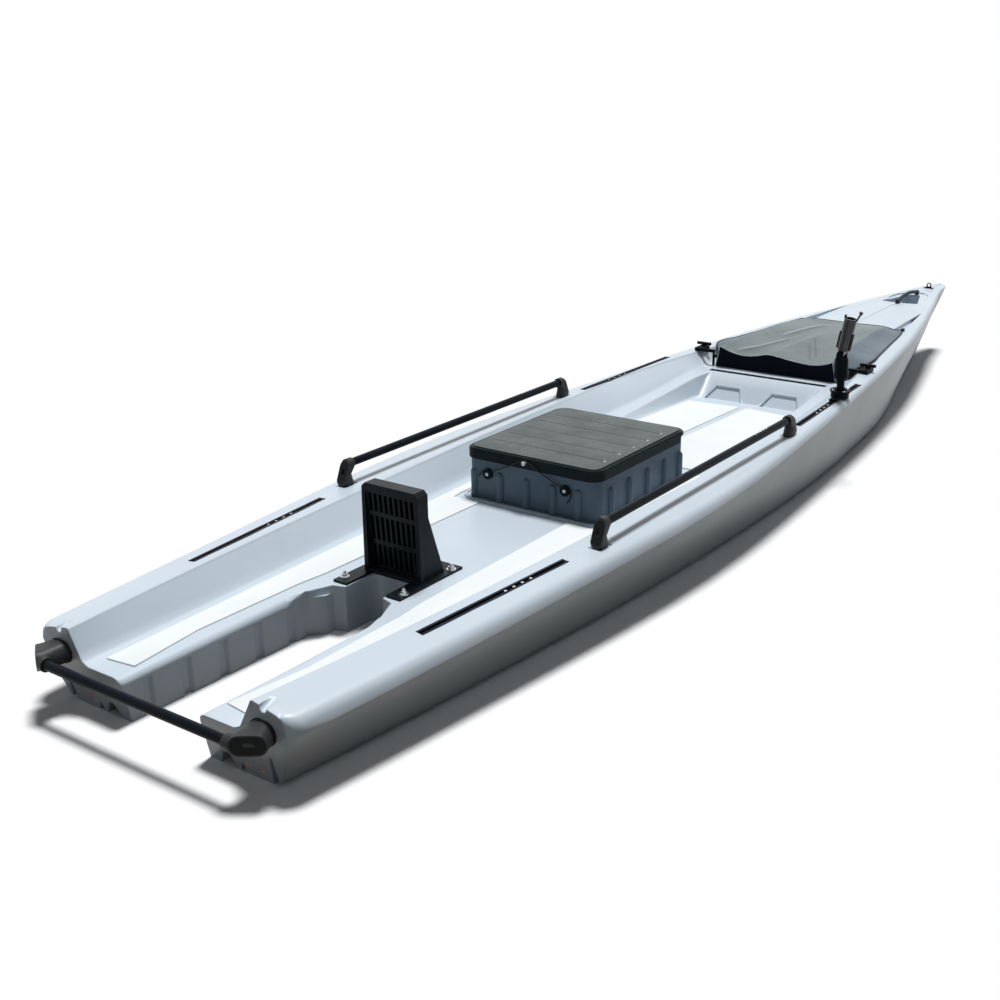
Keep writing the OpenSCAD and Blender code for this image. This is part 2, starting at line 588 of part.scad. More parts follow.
// The hand hollow narrows towards the stem, like the foredeck
module hollow_outline(g) {
    a = hollow_aft;
    b = hollow_fore;
    r = hollow_r;
    polygon([for (c = [[a[1] - r, a[0] + r, -90], [b[1] - r, b[0] - r, 0], [r - b[1], b[0] - r, 90],
        [r - a[1], a[0] + r, 180]], t = [0:30:90]) [c[0] + (r + g) * cos(c[2] + t), along(c[1]) + (r + g) * sin(c[2] + t)]]);
}
module linear_extrude_down(top, bottom) {
    translate([0, 0, bottom]) linear_extrude(top - bottom) children();
}
module offset_tri(g) {
    polygon([[wide * (wedge[0][0] - g), along(wedge[0][1]) - g], [wide * (wedge[1][0] + g), along(wedge[1][1]) - g],
        [wide * (wedge[2][0] + g / 2), along(wedge[2][1]) + 3 * g]]);
}
module centre_groove() {
    a = [0, along(groove_aft), deck_at(along(groove_aft)) + 1];
    b = [0, along(groove_fore), deck_at(along(groove_fore)) + 1];
    translate(a) rotate([-90 + asin((b[2] - a[2]) / norm(b - a)), 0, 0]) cylinder(r = groove_r, h = norm(b - a), $fn = 16);
}

// Raised frames on the step's face
step_low = [2640, 84];
step_high = [2720, 156];
frame_in = 25;
frame_out = 190;
frame_rise = 6;
module step_frames() {
    rise = atan2(step_high[1] - step_low[1], step_high[0] - step_low[0]);
    both_sides() translate([0, along(step_low[0]), lift + step_low[1]]) rotate([rise, 0, 0])
        translate([0, 0, -3]) linear_extrude(3 + frame_rise, scale = [1, 0.985]) difference() {
            polygon([[frame_in, -8], [frame_in + 32, 62], [frame_out - 32, 62], [frame_out, -8]]);
            polygon([[frame_in + 10, -9], [frame_in + 38, 53], [frame_out - 38, 53], [frame_out - 10, -9]]);
        }
}

// Drain plug in the forward wall of the motor bay
drain_z = 42;
drain_d = 20;
drain_head = 28;
module at_drain() {
    translate([0, bay_end, drain_z]) rotate([90, 0, 0]) children();
}
module drain_plug() {
    color([0.08, 0.08, 0.09]) in_trim() at_drain() difference() {
        union() {
            translate([0, 0, -16]) cylinder(d = drain_d, h = 16, $fn = 48);
            cylinder(d = drain_head, h = 4, $fn = 48);
            translate([0, 0, 4]) cylinder(d = 20, h = 4, $fn = 6);
        }
        translate([0, 0, -17]) cylinder(d = 12, h = 14, $fn = 32);
    }
}

// Raised bead round the console's foot
bead_w = 8;
bead_gap = 13;
bead_h = 3;
console_mid = console_aft + console_len / 2;
module console_bead() {
    translate([0, along(console_mid), floor_z - 2]) linear_extrude(bead_h + 2) difference() {
        rounded_rect(2 * console_half + 2 * bead_gap + 2 * bead_w, console_len + 2 * bead_gap + 2 * bead_w, 50);
        rounded_rect(2 * console_half + 2 * bead_gap, console_len + 2 * bead_gap, 42);
    }
}

// Everything that is taken out of the outer shape; g grows it, to keep the wall behind it
module hull_cuts(g) {
    slot_prism(g);
    slot_channels(g);
    slot_lip(g);
    rib_grooves(g);
    transom_cut(g);
    stern_notches(g);
    foredeck_cuts(g);
    for (side = [port, stbd]) {
        track_channel(aft_track, side, g);
        track_channel(fore_track, side, g);
        foot_seat(rail_aft, side, g);
        foot_seat(rail_fore, side, g);
    }
    cross_channel(g);
}
// The shell is hollow between these places; the stem is solid
hollow_aft_end = 14;
hollow_from = 26;
hollow_to = 4100;
module hull_shell() {
    outer = [for (y = STATIONS) along(y)];
    inner = concat([hollow_aft_end], [for (y = STATIONS) if (y >= hollow_from && y <= hollow_to) along(y)]);
    color([0.72, 0.77, 0.83]) in_trim() difference() {
        resize([0, 0, 0]) difference() {
            union() {
                loft([for (y = outer) mirrored(half(y))], outer);
                step_frames();
                console_bead();
            }
            difference() {
                loft([for (y = inner) inset(mirrored(half(y)), wall)], inner);
                hull_cuts(wall);
            }
            hull_cuts(0);
            centre_groove();
            at_drain() translate([0, 0, -30]) cylinder(d = drain_d - 2, h = 60, $fn = 24);
        }
        at_drain() translate([0, 0, -30]) cylinder(d = drain_d + 2 * fit, h = 60, $fn = 48);
        each_track_screw() translate([0, 0, -track_h - 18]) cylinder(d = track_screw_d + 2 * fit, h = 24, $fn = 24);
        each_rail_foot() translate([0, 0, -foot_bolt_out - 2]) cylinder(d = foot_bolt_d + 2 * fit, h = 30, $fn = 32);
        for (side = [port, stbd]) at_stern_foot(side)
            translate([0, 0, -foot_bolt_out - 2]) cylinder(d = foot_bolt_d + 2 * fit, h = 30, $fn = 32);
        each_insert() translate([0, 0, -20]) cylinder(d = insert_d + 2 * fit, h = insert_len + 40, $fn = 32);
        each_bracket_stud() translate([0, 0, -bracket_stud_in - 2]) cylinder(d = stud_d + 2 * fit, h = 60, $fn = 32);
        each_console_screw() translate([0, 0, -14]) cylinder(d = 4 + 2 * fit, h = 20, $fn = 24);
        each_cover_bolt() translate([0, 0, -cover_bolt_in - 1]) cylinder(d = cover_bolt_d + 1, h = 40, $fn = 32);
        each_handle_bolt() translate([0, 0, -16]) cylinder(d = 6 + 2 * fit, h = 40, $fn = 32);
        each_padeye_screw() translate([0, 0, -16]) cylinder(d = 4 + 2 * fit, h = 40, $fn = 24);
    }
}

// Foam pads on the floor: corners as [x, y], starboard side
pad_t = 3;
pad_seat = 0.2;
console_clear = 4;
pad_edge = 23;
console_side = console_half + bead_gap + bead_w + console_clear;
function pad_reach(y) = foot_at(along(y)) - pad_edge;
function floor_reach(y) = ledge_in(along(y)) - 27;
side_pad_outline = [[139, 57], for (y = [47, 387, 763, 1240, 1500, 1775]) [pad_reach(y), y],
    [console_side, 1785], [console_side, 1290], [console_half + 20, 1250], [145, 1250],
    [145, 880], [152, 640], [160, 560], [164, 253]];
fore_pad_outline = [[14, 1830], for (y = [1830, 2000, 2171, 2441, 2555]) [floor_reach(y), y], [14, 2575]];
module side_pad(side) {
    color("white") in_trim() mirror([side < 0 ? 1 : 0, 0, 0]) translate([0, 0, floor_z + pad_seat])
        linear_extrude(pad_t) polygon([for (p = side_pad_outline) [p[0], along(p[1])]]);
}
module side_pad_port() { side_pad(port); }
module side_pad_stbd() { side_pad(stbd); }
fore_pad_slope = atan((FLOOR[1][1] - FLOOR[2][1]) / (along(FLOOR[2][0]) - along(FLOOR[1][0])));
module fore_pad(side) {
    color("white") in_trim() mirror([side < 0 ? 1 : 0, 0, 0])
        translate([0, along(1790), floor_z + pad_seat]) rotate([-fore_pad_slope, 0, 0])
        linear_extrude(pad_t) polygon([for (p = fore_pad_outline) [p[0], along(p[1]) - along(1790)]]);
}
module fore_pad_port() { fore_pad(port); }
module fore_pad_stbd() { fore_pad(stbd); }

// Motor bracket: a flange on the floor, a louvred plate and two gussets
flange_t = 6;
flange_half = 104;
flange_aft = 620;
flange_fore = 854;
plate_y = 715;
block_depth = 38;
block_h = 67;
gusset_t = 8;
stud_x = 92;
stud_y = [647, 825];
bracket_stud_in = 34;
slot_count = 9;
slot_pitch = 16;
louvre_w = 10;
louvre_web = 2;
drawn_plate = 228;
louvre_rows = [[16, 72], [84, 146], [158, 204]];
panel_low = 8;
panel_high = 207;
panel_in = [18, 4];
panel_t = 12;
module each_bracket_stud() {
    for (x = [-1, 1], y = stud_y) translate([x * stud_x, y, floor_z]) children();
}
// The louvred panel slopes back inside the plate's border; t is its thickness, or what is cleared before it
module louvre_panel(half_w, t) {
    k = plate_h / drawn_plate;
    low = [plate_y + panel_in[0], floor_z + (t < 0 ? panel_low : 2) * k];
    high = [plate_y + panel_in[1], floor_z + panel_high * k + (t < 0 ? 0 : 1)];
    translate([-half_w, 0, 0]) rotate([90, 0, 90]) linear_extrude(2 * half_w)
        polygon(t < 0 ? [[low[0] + t, low[1]], low, high, [high[0] + t, high[1]]]
            : [low, [low[0] + t, low[1]], [high[0] + t, high[1]], high]);
}
module motor_bracket() {
    color([0.04, 0.045, 0.05]) in_trim() difference() {
        union() {
            translate([0, 0, floor_z]) linear_extrude(flange_t) difference() {
                translate([-flange_half, flange_aft]) square([2 * flange_half, flange_fore - flange_aft]);
                translate([-bay_half - 3, flange_aft - 1]) square([2 * bay_half + 6, plate_y - flange_aft - 2]);
            }
            difference() {
                union() {
                    translate([0, plate_y + plate_t, floor_z]) rotate([90, 0, 0]) linear_extrude(plate_t)
                        polygon([[-plate_half - 3, 0], [plate_half + 3, 0], [plate_half, plate_h - 10],
                            [plate_half - 10, plate_h], [-plate_half + 10, plate_h], [-plate_half, plate_h - 10]]);
                    translate([0, plate_y + block_depth, floor_z]) rotate([90, 0, 0]) linear_extrude(block_depth)
                        polygon([[-plate_half, plate_h - block_h], [plate_half, plate_h - block_h],
                            [plate_half, plate_h - 10], [plate_half - 10, plate_h],
                            [-plate_half + 10, plate_h], [-plate_half, plate_h - 10]]);
                }
                louvre_panel(plate_half - gusset_t - 2, -30);
            }
            louvre_panel(plate_half - gusset_t + 1, panel_t);
            both_sides() translate([plate_half - gusset_t, 0, floor_z]) rotate([90, 0, 90])
                linear_extrude(gusset_t)
                polygon([[plate_y + 1, 0], [plate_y + 92, 0], [plate_y + block_depth - 1, plate_h - block_h + 2],
                    [plate_y + 1, plate_h - block_h + 2]]);
        }
        intersection() {
            translate([0, panel_t - louvre_web, 0]) louvre_panel(plate_half, -40);
            for (i = [0:slot_count - 1], row = louvre_rows)
                translate([(i - (slot_count - 1) / 2) * slot_pitch - louvre_w / 2, plate_y - 5,
                    floor_z + row[0] * plate_h / drawn_plate])
                    cube([louvre_w, 40, (row[1] - row[0]) * plate_h / drawn_plate]);
        }
        each_bracket_stud() translate([0, 0, -5]) cylinder(d = stud_d + 1, h = 30, $fn = 32);
    }
}
washer_t = 2;
nut_h = 6.5;
module bracket_washers() {
    color("silver") in_trim() each_bracket_stud() translate([0, 0, flange_t]) difference() {
        cylinder(d = 3 * stud_d, h = washer_t, $fn = 48);
        translate([0, 0, -1]) cylinder(d = stud_d + 1, h = washer_t + 2, $fn = 32);
    }
}
module bracket_nuts() {
    color("silver") in_trim() each_bracket_stud() translate([0, 0, flange_t + washer_t]) difference() {
        cylinder(d = 1.95 * stud_d, h = nut_h, $fn = 6);
        translate([0, 0, -1]) cylinder(d = stud_d + 2 * fit, h = nut_h + 2, $fn = 32);
    }
}
module bracket_studs() {
    color("silver") in_trim() each_bracket_stud() translate([0, 0, -bracket_stud_in])
        cylinder(d = stud_d, h = bracket_stud_in + flange_t + washer_t + nut_h + 7, $fn = 32);
}

// Console: an open box with half-round ribs, a hinged lid and an elastic that holds it shut
corner_r = 34;
rib_r = 12;
console_y = along(console_mid);
box_top = floor_z + console_h;
rib_top = box_top - skirt_h - 28;
side_ribs = [70, 164, 262, 355, 441];
aft_ribs = [-189, -100, -12, 75, 155];
module rib() {
    cylinder(r = rib_r, h = rib_top - floor_z - rib_r, $fn = 32);
    translate([0, 0, rib_top - floor_z - rib_r]) sphere(r = rib_r, $fn = 32);
}
module console_box() {
    y0 = console_y - console_len / 2;
    color([0.2, 0.24, 0.3]) in_trim() difference() {
        union() {
            translate([0, console_y, floor_z]) linear_extrude(console_h)
                rounded_rect(2 * console_half, console_len, corner_r);
            translate([0, console_y, floor_z]) linear_extrude(5)
                rounded_rect(2 * console_half + 8, console_len + 8, corner_r + 4);
            both_sides() for (y = side_ribs) if (y < console_len - corner_r + 22 && y > corner_r)
                translate([console_half - 2, y0 + y, floor_z]) rib();
            for (x = aft_ribs) if (abs(x) < console_half - 12)
                translate([x, y0 + (abs(x) > console_half - corner_r ? 5 : 2), floor_z]) rib();
        }
        translate([0, console_y, floor_z + console_wall]) linear_extrude(console_h)
            rounded_rect(2 * console_half - 2 * console_wall, console_len - 2 * console_wall,
                corner_r - console_wall);
        each_console_screw() translate([0, 0, -1]) cylinder(d = 4 + 2 * fit, h = 30, $fn = 24);
        each_ring() translate([0, 0, -20]) cylinder(d = ring_screw_d + 2 * fit, h = 40, $fn = 24);
    }
}
module each_console_screw() {
    for (x = [-1, 1], y = [-1, 1])
        translate([x * (console_half - 50), console_y + y * (console_len / 2 - 50), floor_z]) children();
}
module console_screws() {
    color("silver") in_trim() each_console_screw() {
        translate([0, 0, -12]) cylinder(d = 4, h = 12 + console_wall, $fn = 24);
        translate([0, 0, console_wall]) pan_head(10, 3);
    }
}
lid_over = 6;
lid_gap = 0.6;
module console_lid() {
    w = 2 * console_half + 2 * lid_over;
    l = console_len + 2 * lid_over;
    color([0.05, 0.06, 0.06]) in_trim() difference() {
        translate([0, console_y, box_top - skirt_h]) {
            linear_extrude(skirt_h + lid_rise - 4) rounded_rect(w, l, corner_r + lid_over);
            translate([0, 0, skirt_h + lid_rise - 4]) linear_extrude(2) rounded_rect(w - 4, l - 4, corner_r + lid_over - 2);
            translate([0, 0, skirt_h + lid_rise - 2]) linear_extrude(2) rounded_rect(w - 9, l - 9, corner_r + lid_over - 4.5);
        }
        translate([0, console_y, box_top - skirt_h - 1]) linear_extrude(skirt_h + 1 + lid_gap)
            rounded_rect(2 * console_half + 2, console_len + 2, corner_r + 1);
        translate([0, console_y, box_top - 1]) linear_extrude(lid_rise + 1 - console_wall)
            rounded_rect(2 * console_half - 16, console_len - 16, corner_r - 8);
        // no skirt on the hinges' side
        translate([-console_half - 20, console_y + console_len / 2 - corner_r - 4, box_top - skirt_h - 1])
            cube([2 * console_half + 40, corner_r + 34, skirt_h + 1 + lid_gap]);
    }
}
pad_inset = 14;
lid_pad_t = 3;
lid_groove_w = 4;
lid_grooves = [-150, -75, 0, 75, 150];
lid_top = box_top + lid_rise;
module lid_pad() {
    color([0.27, 0.3, 0.28]) in_trim() translate([0, console_y, lid_top]) difference() {
        linear_extrude(lid_pad_t) rounded_rect(2 * console_half - 2 * pad_inset + 12, console_len - 2 * pad_inset + 12, 24);
        for (y = lid_grooves) translate([-console_half + 34, y - lid_groove_w / 2, lid_pad_t - 1.2])
            cube([2 * console_half - 68, lid_groove_w, 3]);
    }
}
hinge_x = [-115, 115];
hinge_w = 60;
hinge_r = 4.5;
hinge_pin_d = 4;
hinge_y = console_y + console_len / 2 + lid_over + hinge_r + 1.2;
hinge_z = box_top - skirt_h / 2 + 3;
knuckle = hinge_w / 3;
leaf_t = 2;
// Leaves on the box, with the two outer knuckles
module box_hinges() {
    color([0.1, 0.1, 0.11]) in_trim() for (x = hinge_x) translate([x, 0, 0]) difference() {
        union() {
            for (s = [-1, 1]) translate([s * knuckle, hinge_y, hinge_z]) rotate([0, 90, 0])
                cylinder(r = hinge_r, h = knuckle - gap, center = true, $fn = 32);
            translate([-hinge_w / 2, console_y + console_len / 2, hinge_z - hinge_r - 26])
                cube([hinge_w, leaf_t, 24]);
            for (s = [-1, 1]) translate([s * knuckle - (knuckle - gap) / 2, console_y + console_len / 2, hinge_z - hinge_r - 4])
                cube([knuckle - gap, hinge_y - console_y - console_len / 2, 4.5]);
        }
        translate([0, hinge_y, hinge_z]) rotate([0, 90, 0])
            cylinder(d = hinge_pin_d + 2 * fit, h = hinge_w + 10, center = true, $fn = 32);
    }
}
// Leaves on the lid, with the middle knuckle
module lid_hinges() {
    skirt_face = console_y + console_len / 2 + lid_over;
    color([0.1, 0.1, 0.11]) in_trim() for (x = hinge_x) translate([x, 0, 0]) difference() {
        union() {
            translate([0, hinge_y, hinge_z]) rotate([0, 90, 0])
                cylinder(r = hinge_r, h = knuckle - gap, center = true, $fn = 32);
            translate([-knuckle / 2 + gap / 2, skirt_face + 0.05, hinge_z]) cube([knuckle - gap, hinge_y - skirt_face, hinge_r]);
            translate([-hinge_w / 2 + 4, skirt_face, hinge_z + hinge_r + 1.5]) cube([hinge_w - 8, leaf_t, box_top + lid_rise - 5 - hinge_z - hinge_r - 1.5]);
            translate([-knuckle / 2 + gap / 2, skirt_face, hinge_z + hinge_r - 1]) cube([knuckle - gap, leaf_t, 4]);
        }
        translate([0, hinge_y, hinge_z]) rotate([0, 90, 0])
            cylinder(d = hinge_pin_d + 2 * fit, h = hinge_w + 10, center = true, $fn = 32);
    }
}
module hinge_pins() {
    color("silver") in_trim() for (x = hinge_x) translate([x, hinge_y, hinge_z]) rotate([0, 90, 0])
        cylinder(d = hinge_pin_d, h = hinge_w + 2, center = true, $fn = 32);
}
// The elastic runs from a ring on the box up over the catch on the lid and down to the other ring
ring_xs = [-139, 116];
ring_z = floor_z + 77;
ring_d = 30;
ring_t = 7;
ring_screw_d = 4;
cord_d = 3;
catch_x = -10;
catch_z = box_top + 1;
catch_d = 6;
module each_ring() {
    for (x = ring_xs) translate([x, console_y - console_len / 2, ring_z]) rotate([90, 0, 0]) children();
}
module cord_rings() {
    color([0.03, 0.03, 0.03]) in_trim() each_ring() difference() {
        union() {
            cylinder(d = ring_d, h = ring_t, $fn = 48);
        }
        translate([0, 0, -1]) cylinder(d = ring_screw_d + 2 * fit, h = ring_t + 2, $fn = 24);
        translate([-ring_d, ring_screw_d / 2 + 1, ring_t - 4.4]) cube([2 * ring_d, 20, 3.9]);
    }
}
module ring_screws() {
    color("white") in_trim() each_ring() {
        translate([0, 0, ring_t]) pan_head(10, 3);
        translate([0, 0, -12]) cylinder(d = ring_screw_d, h = 12 + ring_t, $fn = 24);
    }
}
module lid_catch() {
    color("white") in_trim() translate([catch_x, console_y - console_len / 2 - lid_over, catch_z]) rotate([90, 0, 0]) {
        cylinder(d = catch_d, h = 9, $fn = 32);
        translate([0, 0, 9]) pan_head(12, 4);
    }
}
face_y = console_y - console_len / 2;
rp = ring_xs[0];
rs = ring_xs[1];
cord_route = [[rp - 32, face_y - 3.4, ring_z - 12], [rp - 19, face_y - 4.2, ring_z + 4],
    [rp - 11, face_y - 4.6, ring_z + 6], [rp, face_y - 4.6, ring_z + 6],
    [rp + 13, face_y - 4.8, ring_z + 9], [rp + 67, face_y - 9.5, ring_z + 34],
    [catch_x - 8, face_y - lid_over - 4.5, catch_z + 4.2], [catch_x, face_y - lid_over - 4.5, catch_z + 5],
    [catch_x + 8, face_y - lid_over - 4.5, catch_z + 4.2], [rs - 67, face_y - 9.5, ring_z + 34],
    [rs - 13, face_y - 4.8, ring_z + 9], [rs, face_y - 4.6, ring_z + 6],
    [rs + 11, face_y - 4.6, ring_z + 6], [rs + 18, face_y - 4.2, ring_z + 3.6],
    [rs + 17, face_y - 3.4, ring_z - 14], [rs + 7, face_y - 3.4, ring_z - 34]];
// A round tube swept along points, with rings square to the path
module swept(path, d, n, ref = [0, 1, 0]) {
    m = len(path);
    dirs = [for (i = [0:m - 1]) unit(path[min(i + 1, m - 1)] - path[max(i - 1, 0)])];
    rings = [for (i = [0:m - 1]) let(t = dirs[i], u = unit(cross(ref, t)), v = cross(t, u))
        for (k = [0:n - 1]) path[i] + d / 2 * (cos(k * 360 / n) * u + sin(k * 360 / n) * v)];
    polyhedron(points = rings, faces = [for (f = skin(n, m)) [for (k = [len(f) - 1:-1:0]) f[k]]], convexity = 4);
}
module elastic_cord() {
    color([0.05, 0.05, 0.05]) in_trim() swept(cord_route, cord_d, 8);
}

// Bow cover: cloth on a bar, pinned at its fore edge and clamped at its aft corners
cover_aft = 2815;
cover_fore = 3530;
COVER = [[2815, 215, 76, 68, 234], [2880, 212, 80, 72, 258], [2957, 208, 83, 76, 300], [3100, 201, 84, 78, 278],
    [3280, 190, 82, 78, 248], [3450, 176, 75, 74, 220], [3530, 168, 57, 58, 205]];
cover_first = COVER[0][0];
cover_clear = 1.8;
cover_rim = [2900, 3400];
sag_end = 3300;
module bow_cover() {
    dip = [0.35, 0.68];
    sections = [for (q = COVER) let(
        y = along(q[0]), k = cover_rise / 82, xc = wide * q[1], zc = shelf_z + q[2] * k, zm = shelf_z + q[3] * k,
        xs = wide * q[4], low = q[0] < cover_rim[0] ? shelf_z + (q[0] - cover_first) * 0.42 + 1 : gunwale_at(xs, y) + cover_clear * (q[0] < 3000 ? 2.6 : 1),
        sag = max(0, (sag_end - q[0]) / (sag_end - cover_first)) * 20 * k,
        out = [[-xs, low], [-xc, zc], [-xc * dip[1], zm - sag], [-xc * dip[0], zm - sag * 0.6], [0, zc - 2],
            [xc * dip[0], zm - sag * 0.6], [xc * dip[1], zm - sag], [xc, zc], [xs, low]],
        under = [for (i = [0:8]) let(p = out[i], s = i == 0 ? 1 : i == 8 ? -1 : 0)
            [p[0] + s * cover_t * 1.3 + (i == 1 ? 1 : i == 7 ? -1 : 0) * cover_t * 0.6,
            i == 0 || i == 8 ? p[1] : p[1] - cover_t]])
        concat(under, [for (i = [8:-1:0]) out[i]])];
    ys = [for (q = COVER) along(q[0])];
    first = COVER[0];
    xc = wide * first[1];
    k = cover_rise / 82;
    zc = shelf_z + first[2] * k;
    zm = shelf_z + first[3] * k;
    color([0.36, 0.38, 0.38]) in_trim() difference() {
        union() {
        loft(sections, ys);
        translate([0, along(cover_aft) + cover_t, 0]) rotate([90, 0, 0]) linear_extrude(cover_t)
            polygon([[-wide * first[4] + 3, shelf_z + gap], [wide * first[4] - 3, shelf_z + gap],
                [xc - 1, zc - 1], [xc * dip[1], zm - 21 * k], [xc * dip[0], zm - 12.8 * k], [0, zc - 3],
                [-xc * dip[0], zm - 12.8 * k], [-xc * dip[1], zm - 21 * k], [-xc + 1, zc - 1]]);
        }
        translate([0, cover_bar_y, cover_bar_z]) rotate([0, 90, 0])
            cylinder(d = cover_bar_d + 1.2, h = 800, center = true, $fn = 24);
    }
}
cover_bar_d = 12;
cover_bar_y = along(cover_aft) + cover_t + cover_bar_d / 2 + 1;
// The knobs stand at unequal distances from the middle, as fitted
knob_xs = [306, 328];
function knob_x(side) = side < 0 ? knob_xs[0] : knob_xs[1];
knob_drawn = 2862;
knob_y = along(knob_drawn);
plate_w = 32;
plate_fore = knob_y + 14;
knob_seat = max([for (k = knob_xs, x = [-1, 1], y = [cover_bar_y - cover_bar_d / 2, plate_fore])
    gunwale_at(k + x * plate_w / 2, y)]);
cover_bolt_d = 6;
cover_bolt_in = 10;
cover_bar_z = shelf_z + 34;
arm_h = 12;
module each_cover_bolt() {
    for (s = [-1, 1]) translate([s * knob_x(s), knob_y, knob_seat]) children();
}
// Bar inside the cover's aft edge, its two posts down to the shelf and its end plates on the gunwales
post_x = 246;
module cover_bar() {
    color([0.05, 0.05, 0.06]) in_trim() {
        translate([0, cover_bar_y, cover_bar_z]) rotate([0, 90, 0])
            cylinder(d = cover_bar_d, h = 2 * post_x, center = true, $fn = 32);
        for (s = [port, stbd]) {
            translate([s * post_x, cover_bar_y, shelf_z + gap])
                cylinder(d = 9, h = knob_seat + arm_h - 3 - shelf_z, $fn = 32);
            translate([s * (post_x + knob_x(s) - plate_w / 2) / 2, cover_bar_y, knob_seat + gap + arm_h / 2])
                cube([knob_x(s) - plate_w / 2 - post_x + 8, 10, arm_h - 1], center = true);
            difference() {
                translate([s * knob_x(s) - plate_w / 2, cover_bar_y - cover_bar_d / 2, knob_seat + gap])
                    cube([plate_w, plate_fore - cover_bar_y + cover_bar_d / 2, arm_h]);
                translate([s * knob_x(s), knob_y, knob_seat - 5])
                    cylinder(d = cover_bolt_d + 2 * fit, h = 30, $fn = 32);
            }
        }
    }
}
knob_base = knob_seat + arm_h + 2 * gap;
module cover_knob(side) {
    color([0.05, 0.05, 0.06]) in_trim() translate([side * knob_x(side), knob_y, knob_base]) difference() {
        union() {
            cylinder(d = 20, h = 10, $fn = 48);
            translate([0, 0, 4]) linear_extrude(9) stadium(58, 11);
        }
        translate([0, 0, -1]) cylinder(d = cover_bolt_d + 2 * fit, h = 9, $fn = 32);
    }
}
module cover_knob_port() { cover_knob(port); }
module cover_knob_stbd() { cover_knob(stbd); }
module cover_bolt(side) {
    color("silver") in_trim() translate([side * knob_x(side), knob_y, knob_seat - cover_bolt_in])
        cylinder(d = cover_bolt_d, h = cover_bolt_in + arm_h + 2 * gap + 7, $fn = 32);
}
module cover_bolt_port() { cover_bolt(port); }
module cover_bolt_stbd() { cover_bolt(stbd); }

// Rod holder on the starboard fore track: a base, a turning post and a tilting tube
rod_u = 0.67;
rod_track_z = track_proud;
base_block = 19;
disc_t = 5;
disc_d = 66;
stem_d = 14;
post_d = 46;
neck_h = 37;
neck_d = 24;
post_h = 70;
post_lean = -4;
rod_lean = 8;
disc_z = rod_track_z + base_block;
post_z = disc_z + disc_t;
pivot_h = neck_h + post_h + 13;
pivot_d = 8;
module at_rod(z) {
    at_track(fore_track, stbd) translate([0, rod_u * track_length(fore_track), z]) children();
}
// Frame of the post, which leans a little on its turning base
module at_post(z) {
    at_rod(post_z) rotate([0, post_lean, 0]) translate([0, 0, z]) children();
}
module rod_base() {
    color([0.03, 0.035, 0.04]) in_trim() difference() {
        union() {
            at_rod(rod_track_z) translate([-13, -62, 0.1]) cube([26, 96, 6]);
            at_rod(rod_track_z) translate([0, 0, 0.1]) cylinder(d = 58, h = base_block + 0.9, $fn = 48);
            at_rod(disc_z) cylinder(d = disc_d, h = disc_t, $fn = 64);
        }
        at_rod(disc_z - 14) cylinder(d = stem_d + 2 * fit, h = 40, $fn = 48);
        each_base_screw() translate([0, 0, -12]) cylinder(d = 4 + 2 * fit, h = 30, $fn = 24);
    }
}
module each_base_screw() {
    for (a = [45:90:315]) at_rod(disc_z + disc_t) rotate([0, 0, a]) translate([26, 0, 0]) children();
}
module rod_base_screws() {
    color("silver") in_trim() each_base_screw() {
        pan_head(8, 3);
        translate([0, 0, -10]) cylinder(d = 4, h = 10, $fn = 24);
    }
}
module rod_post() {
    ear_w = 7;
    color([0.03, 0.035, 0.04]) in_trim() difference() {
        union() {
            at_rod(disc_z - 12) cylinder(d = stem_d, h = 30, $fn = 48);
            at_rod(post_z + gap) cylinder(d = neck_d + 8, h = 7, $fn = 48);
            at_post(3) cylinder(d = neck_d, h = neck_h - 2, $fn = 48);
            at_post(neck_h - 3) cylinder(d1 = post_d - 12, d2 = post_d, h = 9, $fn = 48);
            at_post(neck_h + 5.8) cylinder(d1 = post_d, d2 = post_d - 3, h = post_h - 12, $fn = 48);
            at_post(neck_h + post_h - 6.4) cylinder(d1 = post_d - 3, d2 = post_d - 8, h = 6.4, $fn = 48);
            for (s = [-1, 1]) at_post(pivot_h) translate([0, s * (15 + ear_w / 2), 0]) rotate([90, 0, 0])
                linear_extrude(ear_w, center = true) union() {
                    circle(r = 11, $fn = 48);
                    translate([-11, -20]) square([22, 20]);
                }
        }
        at_post(pivot_h) rotate([90, 0, 0]) cylinder(d = pivot_d + 2 * fit, h = 80, center = true, $fn = 32);
    }
}
// Local frame of the tilting tube: its pivot is the origin and its bore runs up +Z
module at_tilt() {
    at_post(pivot_h) rotate([0, rod_lean - post_lean, 0]) children();
}
tube_start = 12;
module rod_tube() {
    wall_t = 2.5;
    outer = rod_bore + 2 * wall_t;
    color([0.05, 0.055, 0.06]) in_trim() at_tilt() difference() {
        union() {
            translate([0, 0, tube_start]) cylinder(d = outer, h = rod_len, $fn = 48);
            rotate([90, 0, 0]) cylinder(d = 20, h = 28, center = true, $fn = 48);
            linear_extrude(tube_start + 4) square([20, 28], center = true);
            for (s = [-1, 1]) translate([s * (outer / 2 + 3), 0, tube_start + rod_len * 0.44])
                cube([8, 3, rod_len * 0.8], center = true);
        }
        translate([0, 0, tube_start + 4]) cylinder(d = rod_bore, h = rod_len + 1, $fn = 48);
        rotate([90, 0, 0]) cylinder(d = pivot_d + 2 * fit, h = 60, center = true, $fn = 32);
    }
}
cup_h = 36;
